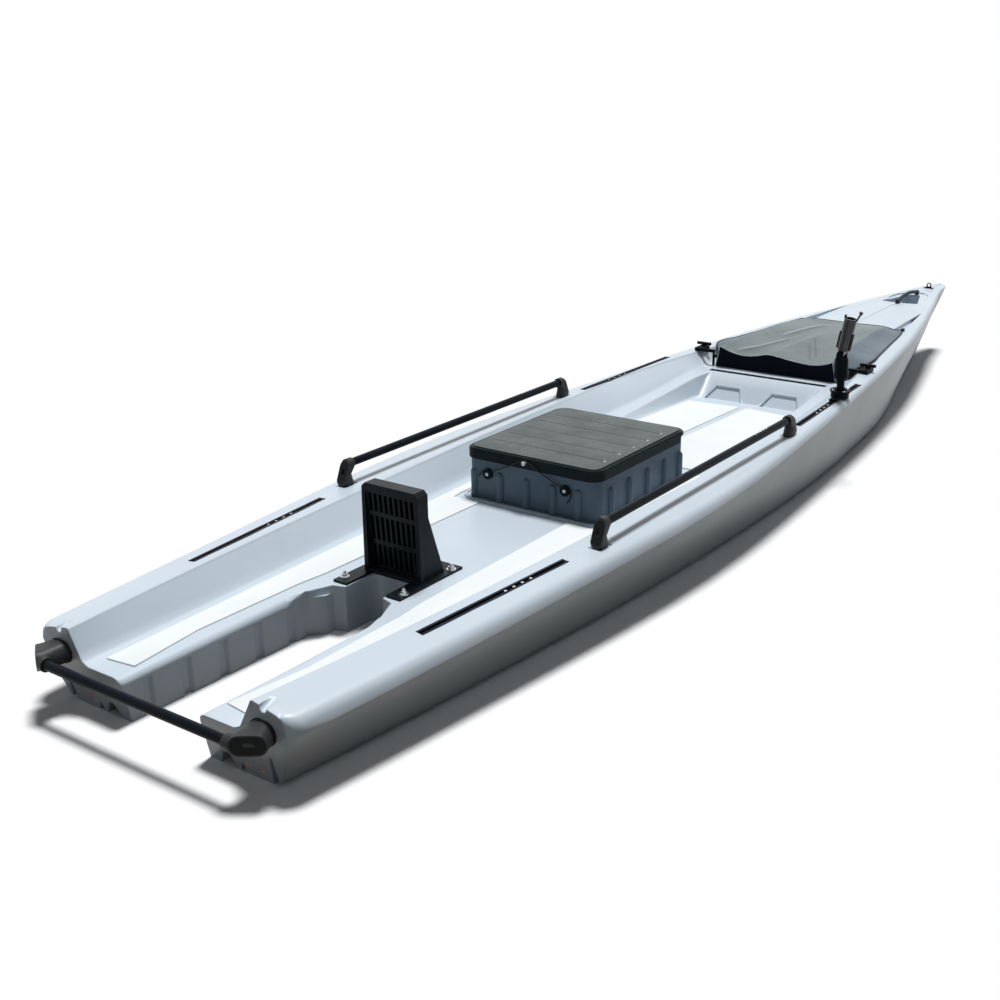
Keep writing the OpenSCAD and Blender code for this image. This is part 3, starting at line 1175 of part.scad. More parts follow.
module rod_cup() {
    outer = rod_bore + 5;
    color([0.05, 0.055, 0.06]) in_trim() at_tilt() translate([0, 0, tube_start + rod_len]) difference() {
        union() {
            translate([0, 0, -8]) cylinder(d = outer + 5, h = cup_h + 8, $fn = 48);
            translate([-outer / 2 - 3.5, -5, cup_h - 2]) cube([5, 10, 10]);
            translate([outer / 2 - 1, 0, cup_h - 4]) rotate([0, 18, 0]) translate([0, -4, 0]) cube([5, 8, 30]);
            translate([outer / 2 + 9, 0, cup_h + 22]) rotate([0, 18, 0]) cylinder(d = 12, h = 7, $fn = 32);
        }
        translate([0, 0, -9]) cylinder(d = outer + 0.1, h = 9.1, $fn = 48);
        translate([0, 0, -1]) cylinder(d = rod_bore + 1, h = cup_h + 2, $fn = 48);
    }
}
module rod_pivot() {
    color([0.05, 0.05, 0.06]) in_trim() at_post(pivot_h) rotate([90, 0, 0]) {
        cylinder(d = pivot_d, h = 44, center = true, $fn = 32);
        for (s = [-1, 1]) translate([0, 0, s * 24.25]) cylinder(d = 15, h = 4.5, center = true, $fn = 32);
    }
}

// Carry handle along the middle of the bow, over the hand hollow
handle_aft = 4034;
handle_fore = 4274;
handle_d = 15;
handle_rise = 17;
handle_z = hollow_z + 4;
module each_handle_bolt() {
    for (y = [handle_aft, handle_fore]) translate([0, along(y), hollow_z - dish_depth]) children();
}
module bow_handle() {
    color([0.12, 0.13, 0.14]) in_trim() difference() {
        union() {
            swept([for (i = [0:12]) [0, along(handle_aft + (handle_fore - handle_aft) * i / 12),
                handle_z - 2 + handle_rise * pow(sin(i * 15), 0.7)]], handle_d, 16, [1, 0, 0]);
            each_handle_bolt() translate([0, 0, gap]) cylinder(d = 18, h = handle_z - hollow_z + dish_depth + 7, $fn = 32);
        }
        each_handle_bolt() translate([0, 0, -1]) cylinder(d = 6 + 2 * fit, h = 60, $fn = 32);
    }
}
module handle_bolts() {
    color("silver") in_trim() each_handle_bolt() {
        translate([0, 0, -14]) cylinder(d = 6, h = 14 + handle_z - hollow_z + dish_depth + 7 + gap, $fn = 32);
        translate([0, 0, handle_z - hollow_z + dish_depth + 7 + gap]) pan_head(12, 3.5);
    }
}
// Pad eye on the stem head
padeye_y = 4425;
padeye_pitch = 32;
padeye_z = top_at(along(padeye_y)) + 0.5;
module at_padeye() {
    fall = atan((top_at(along(padeye_y) + 25) - top_at(along(padeye_y) - 25)) / 50);
    translate([0, along(padeye_y), padeye_z]) rotate([fall, 0, 0]) rotate([0, 0, 90]) children();
}
module each_padeye_screw() {
    at_padeye() for (s = [-1, 1]) translate([0, s * padeye_pitch / 2, 0]) children();
}
module bow_padeye() {
    eye_r = 7;
    bar_d = 5;
    color([0.03, 0.03, 0.03]) in_trim() at_padeye() difference() {
        union() {
            linear_extrude(3) rotate([0, 0, 90]) stadium(padeye_pitch + 14, 14);
            translate([0, 0, 2]) rotate([0, 90, 0]) linear_extrude(bar_d, center = true) difference() {
                translate([-eye_r - 4, 0]) union() {
                    circle(r = eye_r + 3.5, $fn = 48);
                    translate([0, -eye_r - 3.5]) square([eye_r + 4, 2 * eye_r + 7]);
                }
                translate([-eye_r - 3.5, 0]) circle(r = eye_r, $fn = 48);
            }
        }
        for (s = [-1, 1]) translate([0, s * padeye_pitch / 2, -1]) cylinder(d = 4 + 2 * fit, h = 10, $fn = 24);
    }
}
module padeye_screws() {
    color("silver") in_trim() each_padeye_screw() {
        translate([0, 0, 3]) pan_head(7, 2.5);
        translate([0, 0, -14]) cylinder(d = 4, h = 17, $fn = 24);
    }
}
module track_aft_port() { gear_track(aft_track, port, aft_track_screws); }
module track_aft_stbd() { gear_track(aft_track, stbd, aft_track_screws); }
module track_fore_port() { gear_track(fore_track, port, fore_track_screws); }
module track_fore_stbd() { gear_track(fore_track, stbd, fore_track_screws); }

hull_shell();
side_pad_port();
side_pad_stbd();
fore_pad_port();
fore_pad_stbd();
motor_bracket();
bracket_studs();
bracket_washers();
bracket_nuts();
console_box();
console_screws();
console_lid();
lid_pad();
lid_catch();
box_hinges();
lid_hinges();
hinge_pins();
cord_rings();
ring_screws();
elastic_cord();
track_aft_port();
track_aft_stbd();
track_fore_port();
track_fore_stbd();
track_cross();
track_screws();
rail_port();
rail_stbd();
rail_foot_aft_port();
rail_foot_aft_stbd();
rail_foot_fore_port();
rail_foot_fore_stbd();
rail_faces();
rail_bolts();
stern_bar();
stern_foot_port();
stern_foot_stbd();
stern_gaskets();
stern_inserts();
bow_cover();
cover_bar();
cover_knob_port();
cover_knob_stbd();
cover_bolt_port();
cover_bolt_stbd();
rod_base();
rod_base_screws();
rod_post();
rod_tube();
rod_cup();
rod_pivot();
bow_handle();
handle_bolts();
bow_padeye();
padeye_screws();
drain_plug();
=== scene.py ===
import math

import bmesh
import bpy
from bpy.props import FloatProperty, FloatVectorProperty, IntProperty, PointerProperty
from mathutils import Matrix, Vector, noise


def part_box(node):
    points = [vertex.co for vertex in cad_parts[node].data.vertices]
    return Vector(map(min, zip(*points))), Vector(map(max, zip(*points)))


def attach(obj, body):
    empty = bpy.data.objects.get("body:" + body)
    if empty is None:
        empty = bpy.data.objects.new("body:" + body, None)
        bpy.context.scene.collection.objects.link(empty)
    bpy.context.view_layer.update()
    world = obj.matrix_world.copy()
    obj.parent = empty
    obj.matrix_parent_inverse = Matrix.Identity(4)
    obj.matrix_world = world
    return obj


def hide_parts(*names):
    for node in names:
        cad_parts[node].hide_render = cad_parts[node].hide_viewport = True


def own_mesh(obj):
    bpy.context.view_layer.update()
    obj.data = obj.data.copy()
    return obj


bl_info = {
    "name": "Motorised Skiff Kayak",
    "version": (1, 0, 0),
    "blender": (4, 5, 0),
    "location": "3D View > Sidebar > Kayak",
    "description": "Finishes, soft pieces, camera and studio for a motorised skiff kayak",
    "category": "Object",
}

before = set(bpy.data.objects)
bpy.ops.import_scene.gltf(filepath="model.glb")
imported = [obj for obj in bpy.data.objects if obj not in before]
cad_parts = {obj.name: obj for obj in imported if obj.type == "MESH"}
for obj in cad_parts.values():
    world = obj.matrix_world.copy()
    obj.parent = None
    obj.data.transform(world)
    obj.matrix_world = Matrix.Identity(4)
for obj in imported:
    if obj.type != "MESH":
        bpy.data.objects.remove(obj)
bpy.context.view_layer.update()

# The deck's own frame is drawn level from the stern. The craft is turned by the trim onto its flat
# bottom, then moved aft so that the origin lies under the middle of the whole
TRIM = math.atan(0.0185)
ORIGIN_SHIFT = -2.258494


def on_craft(x, y, z):
    """A point of the deck's own frame, in metres, as a point of the scene."""
    return Vector((
        x,
        y * math.cos(TRIM) - z * math.sin(TRIM) + ORIGIN_SHIFT,
        y * math.sin(TRIM) + z * math.cos(TRIM),
    ))


# Settings


class HullLook(bpy.types.PropertyGroup):
    """Colour and surface of the moulded hull."""

    colour: FloatVectorProperty(
        name="Hull colour", description="Colour of the moulded plastic",
        subtype="COLOR", size=3, min=0, max=1, default=(0.61, 0.70, 0.78))
    roughness: FloatProperty(
        name="Roughness", description="Roughness of the plastic's skin",
        subtype="FACTOR", min=0, max=1, default=0.34)
    edge_radius: FloatProperty(
        name="Edge radius", description="Radius that the moulded edges are shaded with",
        subtype="DISTANCE", unit="LENGTH", min=0, max=0.02, default=0.005)
    smooth_angle: FloatProperty(
        name="Smooth angle", description="Edges flatter than this are shaded as one surface",
        subtype="ANGLE", min=0, max=math.pi, default=math.radians(44))


class FittingLook(bpy.types.PropertyGroup):
    """Colours of the fittings."""

    black: FloatVectorProperty(
        name="Black plastic", description="Colour of the bracket, knobs and rod holder",
        subtype="COLOR", size=3, min=0, max=1, default=(0.004, 0.006, 0.008))
    console: FloatVectorProperty(
        name="Console", description="Colour of the console's box",
        subtype="COLOR", size=3, min=0, max=1, default=(0.075, 0.115, 0.155))
    casting: FloatVectorProperty(
        name="Castings", description="Colour of the rails' and bar's feet",
        subtype="COLOR", size=3, min=0, max=1, default=(0.034, 0.037, 0.039))
    edge_radius: FloatProperty(
        name="Edge radius", description="Radius that the fittings' edges are shaded with",
        subtype="DISTANCE", unit="LENGTH", min=0, max=0.01, default=0.0014)


class CoverLook(bpy.types.PropertyGroup):
    """Cloth of the bow cover."""

    colour: FloatVectorProperty(
        name="Cloth colour", description="Colour of the coated cloth",
        subtype="COLOR", size=3, min=0, max=1, default=(0.190, 0.232, 0.235))
    # The sides are the same cloth as the top, coloured darker and bluer as painted shade
    sides: FloatVectorProperty(
        name="Side colour with painted shade", description="Colour of the cloth below the ridges",
        subtype="COLOR", size=3, min=0, max=1, default=(0.135, 0.180, 0.225))
    thickness: FloatProperty(
        name="Thickness", description="Thickness of the coated cloth",
        subtype="DISTANCE", unit="LENGTH", min=0.0003, max=0.004, default=0.0014)
    columns: IntProperty(
        name="Columns", description="Points across the cloth", min=20, max=200, default=112)
    rows: IntProperty(
        name="Rows", description="Points along the cloth", min=20, max=240, default=128)
    crease_height: FloatProperty(
        name="Crease height", description="Height of the long creases",
        subtype="DISTANCE", unit="LENGTH", min=0, max=0.02, default=0.0075)


class PadLook(bpy.types.PropertyGroup):
    """Foam and rubber pads."""

    foam: FloatVectorProperty(
        name="Foam colour", description="Colour of the floor's foam pads",
        subtype="COLOR", size=3, min=0, max=1, default=(0.86, 0.90, 0.90))
    rubber: FloatVectorProperty(
        name="Lid pad colour", description="Colour of the rubber pad on the lid",
        subtype="COLOR", size=3, min=0, max=1, default=(0.088, 0.108, 0.104))
    edge: FloatProperty(
        name="Edge", description="Rounding of the pads' edges",
        subtype="DISTANCE", unit="LENGTH", min=0, max=0.002, default=0.0009)


class StudioLook(bpy.types.PropertyGroup):
    """Floor, light and camera."""

    floor: FloatVectorProperty(
        name="Floor colour", description="Colour of the studio floor as the camera sees it",
        subtype="COLOR", size=3, min=0, max=1, default=(0.95, 0.95, 0.95))
    bounce: FloatVectorProperty(
        name="Floor bounce", description="Colour of the light that the floor sends back at the craft",
        subtype="COLOR", size=3, min=0, max=1, default=(0.115, 0.096, 0.072))
    sky: FloatProperty(
        name="Sky", description="Strength of the light from all round", min=0, max=2, default=0.125)
    key: FloatProperty(
        name="Key light", description="Strength of the light from above",
        subtype="POWER", min=0, max=10, default=3.1)
    softness: FloatProperty(
        name="Softness", description="Width of the key light as the craft sees it",
        subtype="ANGLE", min=0, max=math.pi, default=math.radians(13))
    key_from: FloatVectorProperty(
        name="Key light from", description="Direction that the key light comes from",
        subtype="DIRECTION", size=3, default=(-0.07, 0.26, 0.96))
    lens: FloatProperty(
        name="Lens", description="Focal length of the camera",
        subtype="DISTANCE_CAMERA", unit="CAMERA", min=10, max=200, default=47.18)
    azimuth: FloatProperty(
        name="Azimuth", description="Camera's turn round the craft",
        subtype="ANGLE", default=math.radians(36.299))
    elevation: FloatProperty(
        name="Elevation", description="Camera's height above the horizon",
        subtype="ANGLE", default=math.radians(18.917))
    roll: FloatProperty(
        name="Roll", description="Camera's roll about its view", subtype="ANGLE",
        default=math.radians(-0.283))
    place: FloatVectorProperty(
        name="Place", description="Where the camera stands", subtype="TRANSLATION",
        unit="LENGTH", size=3, default=(1.9285, -3.73581, 1.31170))


# Shader building


class Nodes:
    """A node tree with short ways to add and join nodes."""

    def __init__(self, tree):
        self.tree = tree

    def add(self, kind, **settings):
        node = self.tree.nodes.new(kind)
        for key, value in settings.items():
            setattr(node, key, value)
        return node

    def join(self, out, into):
        self.tree.links.new(out, into)

    def put(self, socket, value):
        """Joins an output to a socket, or sets the socket to a value."""
        if isinstance(value, bpy.types.NodeSocket):
            self.join(value, socket)
        else:
            socket.default_value = value

    def math(self, operation, a, b=0.0, c=None, clamp=False):
        node = self.add("ShaderNodeMath", operation=operation, use_clamp=clamp)
        self.put(node.inputs[0], a)
        self.put(node.inputs[1], b)
        if c is not None:
            self.put(node.inputs[2], c)
        return node.outputs[0]

    def spread(self, value, low, high, to_low=0.0, to_high=1.0):
        node = self.add("ShaderNodeMapRange", clamp=True)
        for i, v in enumerate((value, low, high, to_low, to_high)):
            self.put(node.inputs[i], v)
        return node.outputs[0]

    def mix(self, factor, a, b):
        node = self.add("ShaderNodeMix", data_type="RGBA")
        self.put(node.inputs["Factor"], factor)
        self.put(node.inputs[6], a)
        self.put(node.inputs[7], b)
        return node.outputs[2]

    def noise(self, vector, scale, detail=3.0, roughness=0.55):
        node = self.add("ShaderNodeTexNoise")
        self.put(node.inputs["Vector"], vector)
        self.put(node.inputs["Scale"], scale)
        node.inputs["Detail"].default_value = detail
        node.inputs["Roughness"].default_value = roughness
        return node.outputs["Fac"]

    def stretch(self, vector, scale):
        node = self.add("ShaderNodeMapping")
        self.join(vector, node.inputs["Vector"])
        node.inputs["Scale"].default_value = scale
        return node.outputs[0]


def effect(name, inputs, outputs):
    """An empty shader node group with named inputs and outputs: (group, nodes, input node, output node)."""
    group = bpy.data.node_groups.new(name, "ShaderNodeTree")
    for label, kind, default in inputs:
        socket = group.interface.new_socket(label, in_out="INPUT", socket_type=kind)
        if default is not None:
            socket.default_value = default
    for label, kind in outputs:
        group.interface.new_socket(label, in_out="OUTPUT", socket_type=kind)
    n = Nodes(group)
    return group, n, n.add("NodeGroupInput"), n.add("NodeGroupOutput")


def moulding_grain():
    """Fine pebbled skin of moulded plastic."""
    group, n, given, out = effect(
        "Moulding grain",
        [("Vector", "NodeSocketVector", None), ("Scale", "NodeSocketFloat", 900.0)],
        [("Height", "NodeSocketFloat")])
    cells = n.add("ShaderNodeTexVoronoi", feature="SMOOTH_F1")
    n.join(given.outputs["Vector"], cells.inputs["Vector"])
    n.join(given.outputs["Scale"], cells.inputs["Scale"])
    cells.inputs["Smoothness"].default_value = 0.6
    fine = n.noise(given.outputs["Vector"], n.math("MULTIPLY", given.outputs["Scale"], 0.7))
    n.join(n.math("MULTIPLY_ADD", cells.outputs["Distance"], 0.7, fine), out.inputs["Height"])
    return group


def handling_marks():
    """Soft patches and thin scuffs that use leaves on a surface."""
    group, n, given, out = effect(
        "Handling marks",
        [("Vector", "NodeSocketVector", None), ("Scale", "NodeSocketFloat", 6.0),
         ("Scuffs", "NodeSocketFloat", 0.5)],
        [("Patches", "NodeSocketFloat"), ("Scuffs", "NodeSocketFloat")])
    vector = given.outputs["Vector"]
    patches = n.noise(vector, given.outputs["Scale"], 5.0, 0.6)
    n.join(n.spread(patches, 0.38, 0.68), out.inputs["Patches"])
    finer = n.math("MULTIPLY", given.outputs["Scale"], 8.0)
    thin = n.noise(n.stretch(vector, (9.0, 1.0, 9.0)), finer, 4.0, 0.7)
    scuffs = n.math("MULTIPLY", n.spread(thin, 0.60, 0.72), n.spread(patches, 0.48, 0.62))
    n.join(n.math("MULTIPLY", scuffs, given.outputs["Scuffs"]), out.inputs["Scuffs"])
    return group


def woven_threads():
    """Plain weave: over and under threads both ways."""
    group, n, given, out = effect(
        "Woven threads",
        [("Vector", "NodeSocketVector", None), ("Threads per metre", "NodeSocketFloat", 1400.0)],
        [("Height", "NodeSocketFloat")])
    parts = n.add("ShaderNodeSeparateXYZ")
    n.join(given.outputs["Vector"], parts.inputs[0])
    turn = n.math("MULTIPLY", given.outputs["Threads per metre"], math.pi)
    across = n.math("SINE", n.math("MULTIPLY", parts.outputs["X"], turn))
    along = n.math("SINE", n.math("MULTIPLY", parts.outputs["Y"], turn))
    n.join(n.math("MULTIPLY", across, along), out.inputs["Height"])
    return group


def cell_relief():
    """Small domes side by side, as on foam and stippled rubber."""
    group, n, given, out = effect(
        "Cell relief",
        [("Vector", "NodeSocketVector", None), ("Scale", "NodeSocketFloat", 400.0)],
        [("Height", "NodeSocketFloat")])
    cells = n.add("ShaderNodeTexVoronoi", feature="F1")
    n.join(given.outputs["Vector"], cells.inputs["Vector"])
    n.join(given.outputs["Scale"], cells.inputs["Scale"])
    n.join(cells.outputs["Distance"], out.inputs["Height"])
    return group


EFFECTS = {
    "Moulding grain": moulding_grain,
    "Handling marks": handling_marks,
    "Woven threads": woven_threads,
    "Cell relief": cell_relief,
}


def group_of(name):
    """The shared effect of that name, made when it is first asked for."""
    return bpy.data.node_groups.get(name) or EFFECTS[name]()


class Surface:
    """A material whose Principled shader is fed by shared effects."""

    def __init__(self, name, colour, roughness, metallic=0.0, coat=0.0, specular=0.5):
        self.material = bpy.data.materials.new(name)
        self.material.use_nodes = True
        tree = self.material.node_tree
        tree.nodes.clear()
        self.n = n = Nodes(tree)
        self.shader = n.add("ShaderNodeBsdfPrincipled")
        n.join(self.shader.outputs[0], n.add("ShaderNodeOutputMaterial").inputs["Surface"])
        self.colour = (*colour, 1.0)
        self.roughness = roughness
        self.shader.inputs["Base Color"].default_value = self.colour
        self.shader.inputs["Roughness"].default_value = roughness
        self.shader.inputs["Metallic"].default_value = metallic
        self.shader.inputs["Coat Weight"].default_value = coat
        self.shader.inputs["Coat Roughness"].default_value = 0.18
        self.shader.inputs["Specular IOR Level"].default_value = specular
        self.place = n.add("ShaderNodeTexCoord").outputs["Object"]
        self.normal = None
        self.material.diffuse_color = self.colour

    def use(self, name, **inputs):
        """Places a shared effect, with its inputs set by name."""
        node = self.n.add("ShaderNodeGroup", node_tree=group_of(name))
        self.n.join(self.place, node.inputs["Vector"])
        for key, value in inputs.items():
            node.inputs[key.replace("_", " ")].default_value = value
        return node

    def rounded(self, radius):
        """Shades the edges as if they had this radius."""
        if radius > 0:
            self.normal = self.n.add("ShaderNodeBevel", samples=4)
            self.normal.inputs["Radius"].default_value = radius
            self.n.join(self.normal.outputs[0], self.shader.inputs["Normal"])
        return self

    def bump(self, height, depth, strength=1.0):
        """Adds a relief of that depth in metres over what is there."""
        node = self.n.add("ShaderNodeBump")
        node.inputs["Strength"].default_value = strength
        node.inputs["Distance"].default_value = depth
        self.n.join(height, node.inputs["Height"])
        if self.normal:
            self.n.join(self.normal.outputs[0], node.inputs["Normal"])
        self.n.join(node.outputs[0], self.shader.inputs["Normal"])
        self.normal = node
        return self

    def grain(self, scale, depth):
        """Adds the pebbled relief of moulded plastic."""
        return self.bump(self.use("Moulding grain", Scale=scale).outputs["Height"], depth)

    def woven(self, threads_per_metre, depth):
        """Adds the relief of a plain weave."""
        weave = self.use("Woven threads", Threads_per_metre=threads_per_metre)
        return self.bump(weave.outputs["Height"], depth)

    def marked(self, patch, scuff, scale=5.0, scuffs=0.5, rough=0.12):
        """Tints the patches towards one colour and the scuffs towards another, and roughens both."""
        n = self.n
        marks = self.use("Handling marks", Scale=scale, Scuffs=scuffs)
        tinted = n.mix(marks.outputs["Patches"], self.colour, (*patch, 1.0))
        n.join(n.mix(marks.outputs["Scuffs"], tinted, (*scuff, 1.0)), self.shader.inputs["Base Color"])
        total = n.math("MAXIMUM", marks.outputs["Patches"], marks.outputs["Scuffs"])
        n.join(n.spread(total, 0.0, 1.0, self.roughness, min(1.0, self.roughness + rough)),
               self.shader.inputs["Roughness"])
        return self


def shade(colour, by):
    """A colour made lighter or darker by a factor."""
    return tuple(min(1.0, max(0.0, c * by)) for c in colour)


# Smooth shading


# Edges flatter than this are shaded as one surface, where a piece has no angle of its own
SMOOTH_ANGLE = math.radians(32)
CAD_WELD = 0.00002


def soft_shading_group():
    """Geometry nodes that weld a CAD mesh and smooth its flatter edges."""
    name = "Soft shading"
    if name in bpy.data.node_groups:
        return bpy.data.node_groups[name]
    group = bpy.data.node_groups.new(name, "GeometryNodeTree")
    group.interface.new_socket("Geometry", in_out="INPUT", socket_type="NodeSocketGeometry")
    group.interface.new_socket("Angle", in_out="INPUT", socket_type="NodeSocketFloat")
    group.interface.new_socket("Geometry", in_out="OUTPUT", socket_type="NodeSocketGeometry")
    n = Nodes(group)
    given = n.add("NodeGroupInput")
    out = n.add("NodeGroupOutput")
    weld = n.add("GeometryNodeMergeByDistance")
    weld.inputs["Distance"].default_value = CAD_WELD
    faces = n.add("GeometryNodeSetShadeSmooth", domain="FACE")
    edges = n.add("GeometryNodeSetShadeSmooth", domain="EDGE")
    angle = n.add("GeometryNodeInputMeshEdgeAngle")
    flat = n.add("FunctionNodeCompare", data_type="FLOAT", operation="LESS_THAN")
    n.join(given.outputs[0], weld.inputs["Geometry"])
    n.join(weld.outputs[0], faces.inputs["Geometry"])
    n.join(faces.outputs[0], edges.inputs["Geometry"])
    n.join(angle.outputs["Unsigned Angle"], flat.inputs[0])
    n.join(given.outputs["Angle"], flat.inputs[1])
    n.join(flat.outputs[0], edges.inputs["Shade Smooth"])
    n.join(edges.outputs[0], out.inputs[0])
    return group


def smooth(obj, angle=SMOOTH_ANGLE):
    """Welds and smooths a mesh by modifiers, so the CAD mesh itself stays as it is."""
    welded = obj.modifiers.new("Soft shading", "NODES")
    welded.node_group = soft_shading_group()
    for item in welded.node_group.interface.items_tree:
        if item.name == "Angle":
            welded[item.identifier] = angle
    even = obj.modifiers.new("Even normals", "WEIGHTED_NORMAL")
    even.keep_sharp = True
    even.weight = 50


def finish_node(name, material, angle=SMOOTH_ANGLE):
    """Gives a CAD node a material and smooth shading."""
    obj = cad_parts[name]
    for slot in obj.material_slots:
        slot.material = material
    smooth(obj, angle)


def finish_nodes(names, material, angle=SMOOTH_ANGLE):
    """Gives several CAD nodes one material and smooth shading."""
    for name in names:
        finish_node(name, material, angle)


def new_piece(name, mesh, body, materials):
    """A new object at the origin that rides on a CAD body."""
    obj = bpy.data.objects.new(name, mesh)
    bpy.context.scene.collection.objects.link(obj)
    for material in materials:
        mesh.materials.append(material)
    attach(obj, body)
    return obj


def tube_mesh(name, path, radius, sides=10, ends=True):
    """A round tube along a path of points."""
    made = bmesh.new()
    rings = []
    for i, point in enumerate(path):
        before = path[max(i - 1, 0)]
        after = path[min(i + 1, len(path) - 1)]
        direction = (after - before).normalized()
        side = direction.cross(Vector((0, 0, 1)))
        if side.length < 0.1:
            side = direction.cross(Vector((0, 1, 0)))
        side.normalize()
        up = side.cross(direction)
        rings.append([made.verts.new(point + radius * (math.cos(t) * side + math.sin(t) * up))
                      for t in [2 * math.pi * k / sides for k in range(sides)]])
    for a, b in zip(rings, rings[1:]):
        for k in range(sides):
            made.faces.new((a[k], a[(k + 1) % sides], b[(k + 1) % sides], b[k]))
    if ends:
        made.faces.new(list(reversed(rings[0])))
        made.faces.new(rings[-1])
    bmesh.ops.recalc_face_normals(made, faces=made.faces)
    for face in made.faces:
        face.smooth = len(face.verts) == 4
    mesh = bpy.data.meshes.new(name)
    made.to_mesh(mesh)
    made.free()
    return mesh


# A copied pad's points closer than this are welded, its flatter edges dissolved and its sharper rounded
PAD_WELD = 0.00005
PAD_FLAT = math.radians(2)
PAD_SHARP = math.radians(40)


def copied_pad(node, name, edge):
    """A copy of a CAD pad with its edges rounded."""
    made = bmesh.new()
    made.from_mesh(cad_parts[node].data)
    bmesh.ops.remove_doubles(made, verts=made.verts, dist=PAD_WELD)
    bmesh.ops.dissolve_limit(made, angle_limit=PAD_FLAT, verts=made.verts, edges=made.edges)
    sharp = [e for e in made.edges if len(e.link_faces) == 2 and e.calc_face_angle(0) > PAD_SHARP]
    bmesh.ops.bevel(made, geom=sharp, offset=edge, segments=2, profile=0.6, affect="EDGES",
                    clamp_overlap=True)
    bmesh.ops.triangulate(made, faces=[f for f in made.faces if len(f.verts) > 4])
    for face in made.faces:
        face.smooth = True
    mesh = bpy.data.meshes.new(name)
    made.to_mesh(mesh)
    made.free()
    return mesh


# Pieces


class KAYAK_OT_hull(bpy.types.Operator):
    """Moulded hull: one satin skin over welded, smoothed shading."""

    bl_idname = "kayak.hull"
    bl_label = "Hull"

    def execute(self, context):
        look = context.scene.kayak_hull
        base = tuple(look.colour)
        skin = Surface("Hull plastic", base, look.roughness, coat=0.1, specular=0.4).rounded(look.edge_radius)
        skin.marked(shade(base, 0.94), shade(base, 0.8), scale=2.2, scuffs=0.35, rough=0.1)
        swell = skin.n.noise(skin.place, 7.0, 2.0, 0.4)
        skin.bump(swell, 0.004, 0.35)
        skin.grain(700.0, 0.00012)
        finish_node("hull_shell", skin.material, look.smooth_angle)
        return {"FINISHED"}


class KAYAK_OT_fittings(bpy.types.Operator):
    """Bracket, knobs, rod holder, console and rail feet."""

    bl_idname = "kayak.fittings"
    bl_label = "Plastic fittings"

    def execute(self, context):
        look = context.scene.kayak_fittings
        radius = look.edge_radius
        black = tuple(look.black)

        satin = Surface("Black plastic", black, 0.34, specular=0.05).rounded(radius)
        satin.marked(shade(black, 1.6), (0.05, 0.055, 0.06), scale=9.0, scuffs=0.4).grain(1100.0, 0.00012)
        finish_nodes(["cord_rings", "drain_plug", "cover_bar", "cover_knob_port", "cover_knob_stbd",
                      "rod_base", "rod_post", "rod_pivot", "bow_padeye", "box_hinges", "lid_hinges"],
                     satin.material)

        board = Surface("Bracket board", (0.004, 0.007, 0.009), 0.30, specular=0.12).rounded(radius)
        board.marked((0.008, 0.012, 0.015), (0.05, 0.06, 0.065), scale=7.0, scuffs=0.6).grain(800.0, 0.00014)
        finish_node("motor_bracket", board.material)

        face = Surface("Rail foot face", (0.020, 0.022, 0.023), 0.5, specular=0.08).rounded(radius / 2)
        face.marked((0.022, 0.023, 0.024), (0.05, 0.05, 0.05), scale=20.0).grain(1500.0, 0.0001)
        finish_node("rail_faces", face.material)

        cast = tuple(look.casting)
        casting = Surface("Rail foot casting", cast, 0.36, specular=0.2).rounded(radius * 1.8)
        casting.marked(shade(cast, 0.72), shade(cast, 2.0), scale=14.0, scuffs=0.5).grain(1000.0, 0.0002)
        finish_nodes(["rail_foot_aft_port", "rail_foot_aft_stbd", "rail_foot_fore_port",
                      "rail_foot_fore_stbd", "stern_foot_port", "stern_foot_stbd"],
                     casting.material, math.radians(40))

        box = tuple(look.console)
        console = Surface("Console plastic", box, 0.38, specular=0.25).rounded(radius)
        console.marked(shade(box, 0.8), shade(box, 1.9), scale=6.0, scuffs=0.4).grain(900.0, 0.00016)
        finish_node("console_box", console.material)

        rim = Surface("Lid rim", (0.005, 0.009, 0.011), 0.32, specular=0.07).rounded(radius)
        rim.marked((0.010, 0.015, 0.018), (0.06, 0.065, 0.07), scale=8.0).grain(1000.0, 0.00012)
        finish_node("console_lid", rim.material)

        barrel = Surface("Rod holder barrel", (0.045, 0.046, 0.048), 0.22, metallic=0.5).rounded(radius / 2)
        barrel.marked((0.02, 0.021, 0.023), (0.2, 0.2, 0.2), scale=20.0, scuffs=0.6).grain(1600.0, 0.00005)
        finish_nodes(["rod_tube", "rod_cup"], barrel.material)

        grip = Surface("Bow handle", (0.030, 0.044, 0.058), 0.42, specular=0.1).rounded(radius)
        grip.marked((0.035, 0.05, 0.065), (0.2, 0.23, 0.26), scale=12.0).grain(1200.0, 0.00015)
        finish_node("bow_handle", grip.material)

        white = Surface("White buttons", (0.80, 0.81, 0.80), 0.35).rounded(radius / 2)
        white.marked((0.7, 0.71, 0.7), (0.5, 0.5, 0.5), scale=40.0).grain(2000.0, 0.00004)
        finish_nodes(["lid_catch", "ring_screws", "track_screws"], white.material)

        rubber = Surface("Gasket rubber", (0.006, 0.006, 0.007), 0.62, specular=0.2)
        rubber.marked((0.02, 0.02, 0.02), (0.05, 0.05, 0.05), scale=25.0).grain(1500.0, 0.00015)
        finish_node("stern_gaskets", rubber.material)
        return {"FINISHED"}


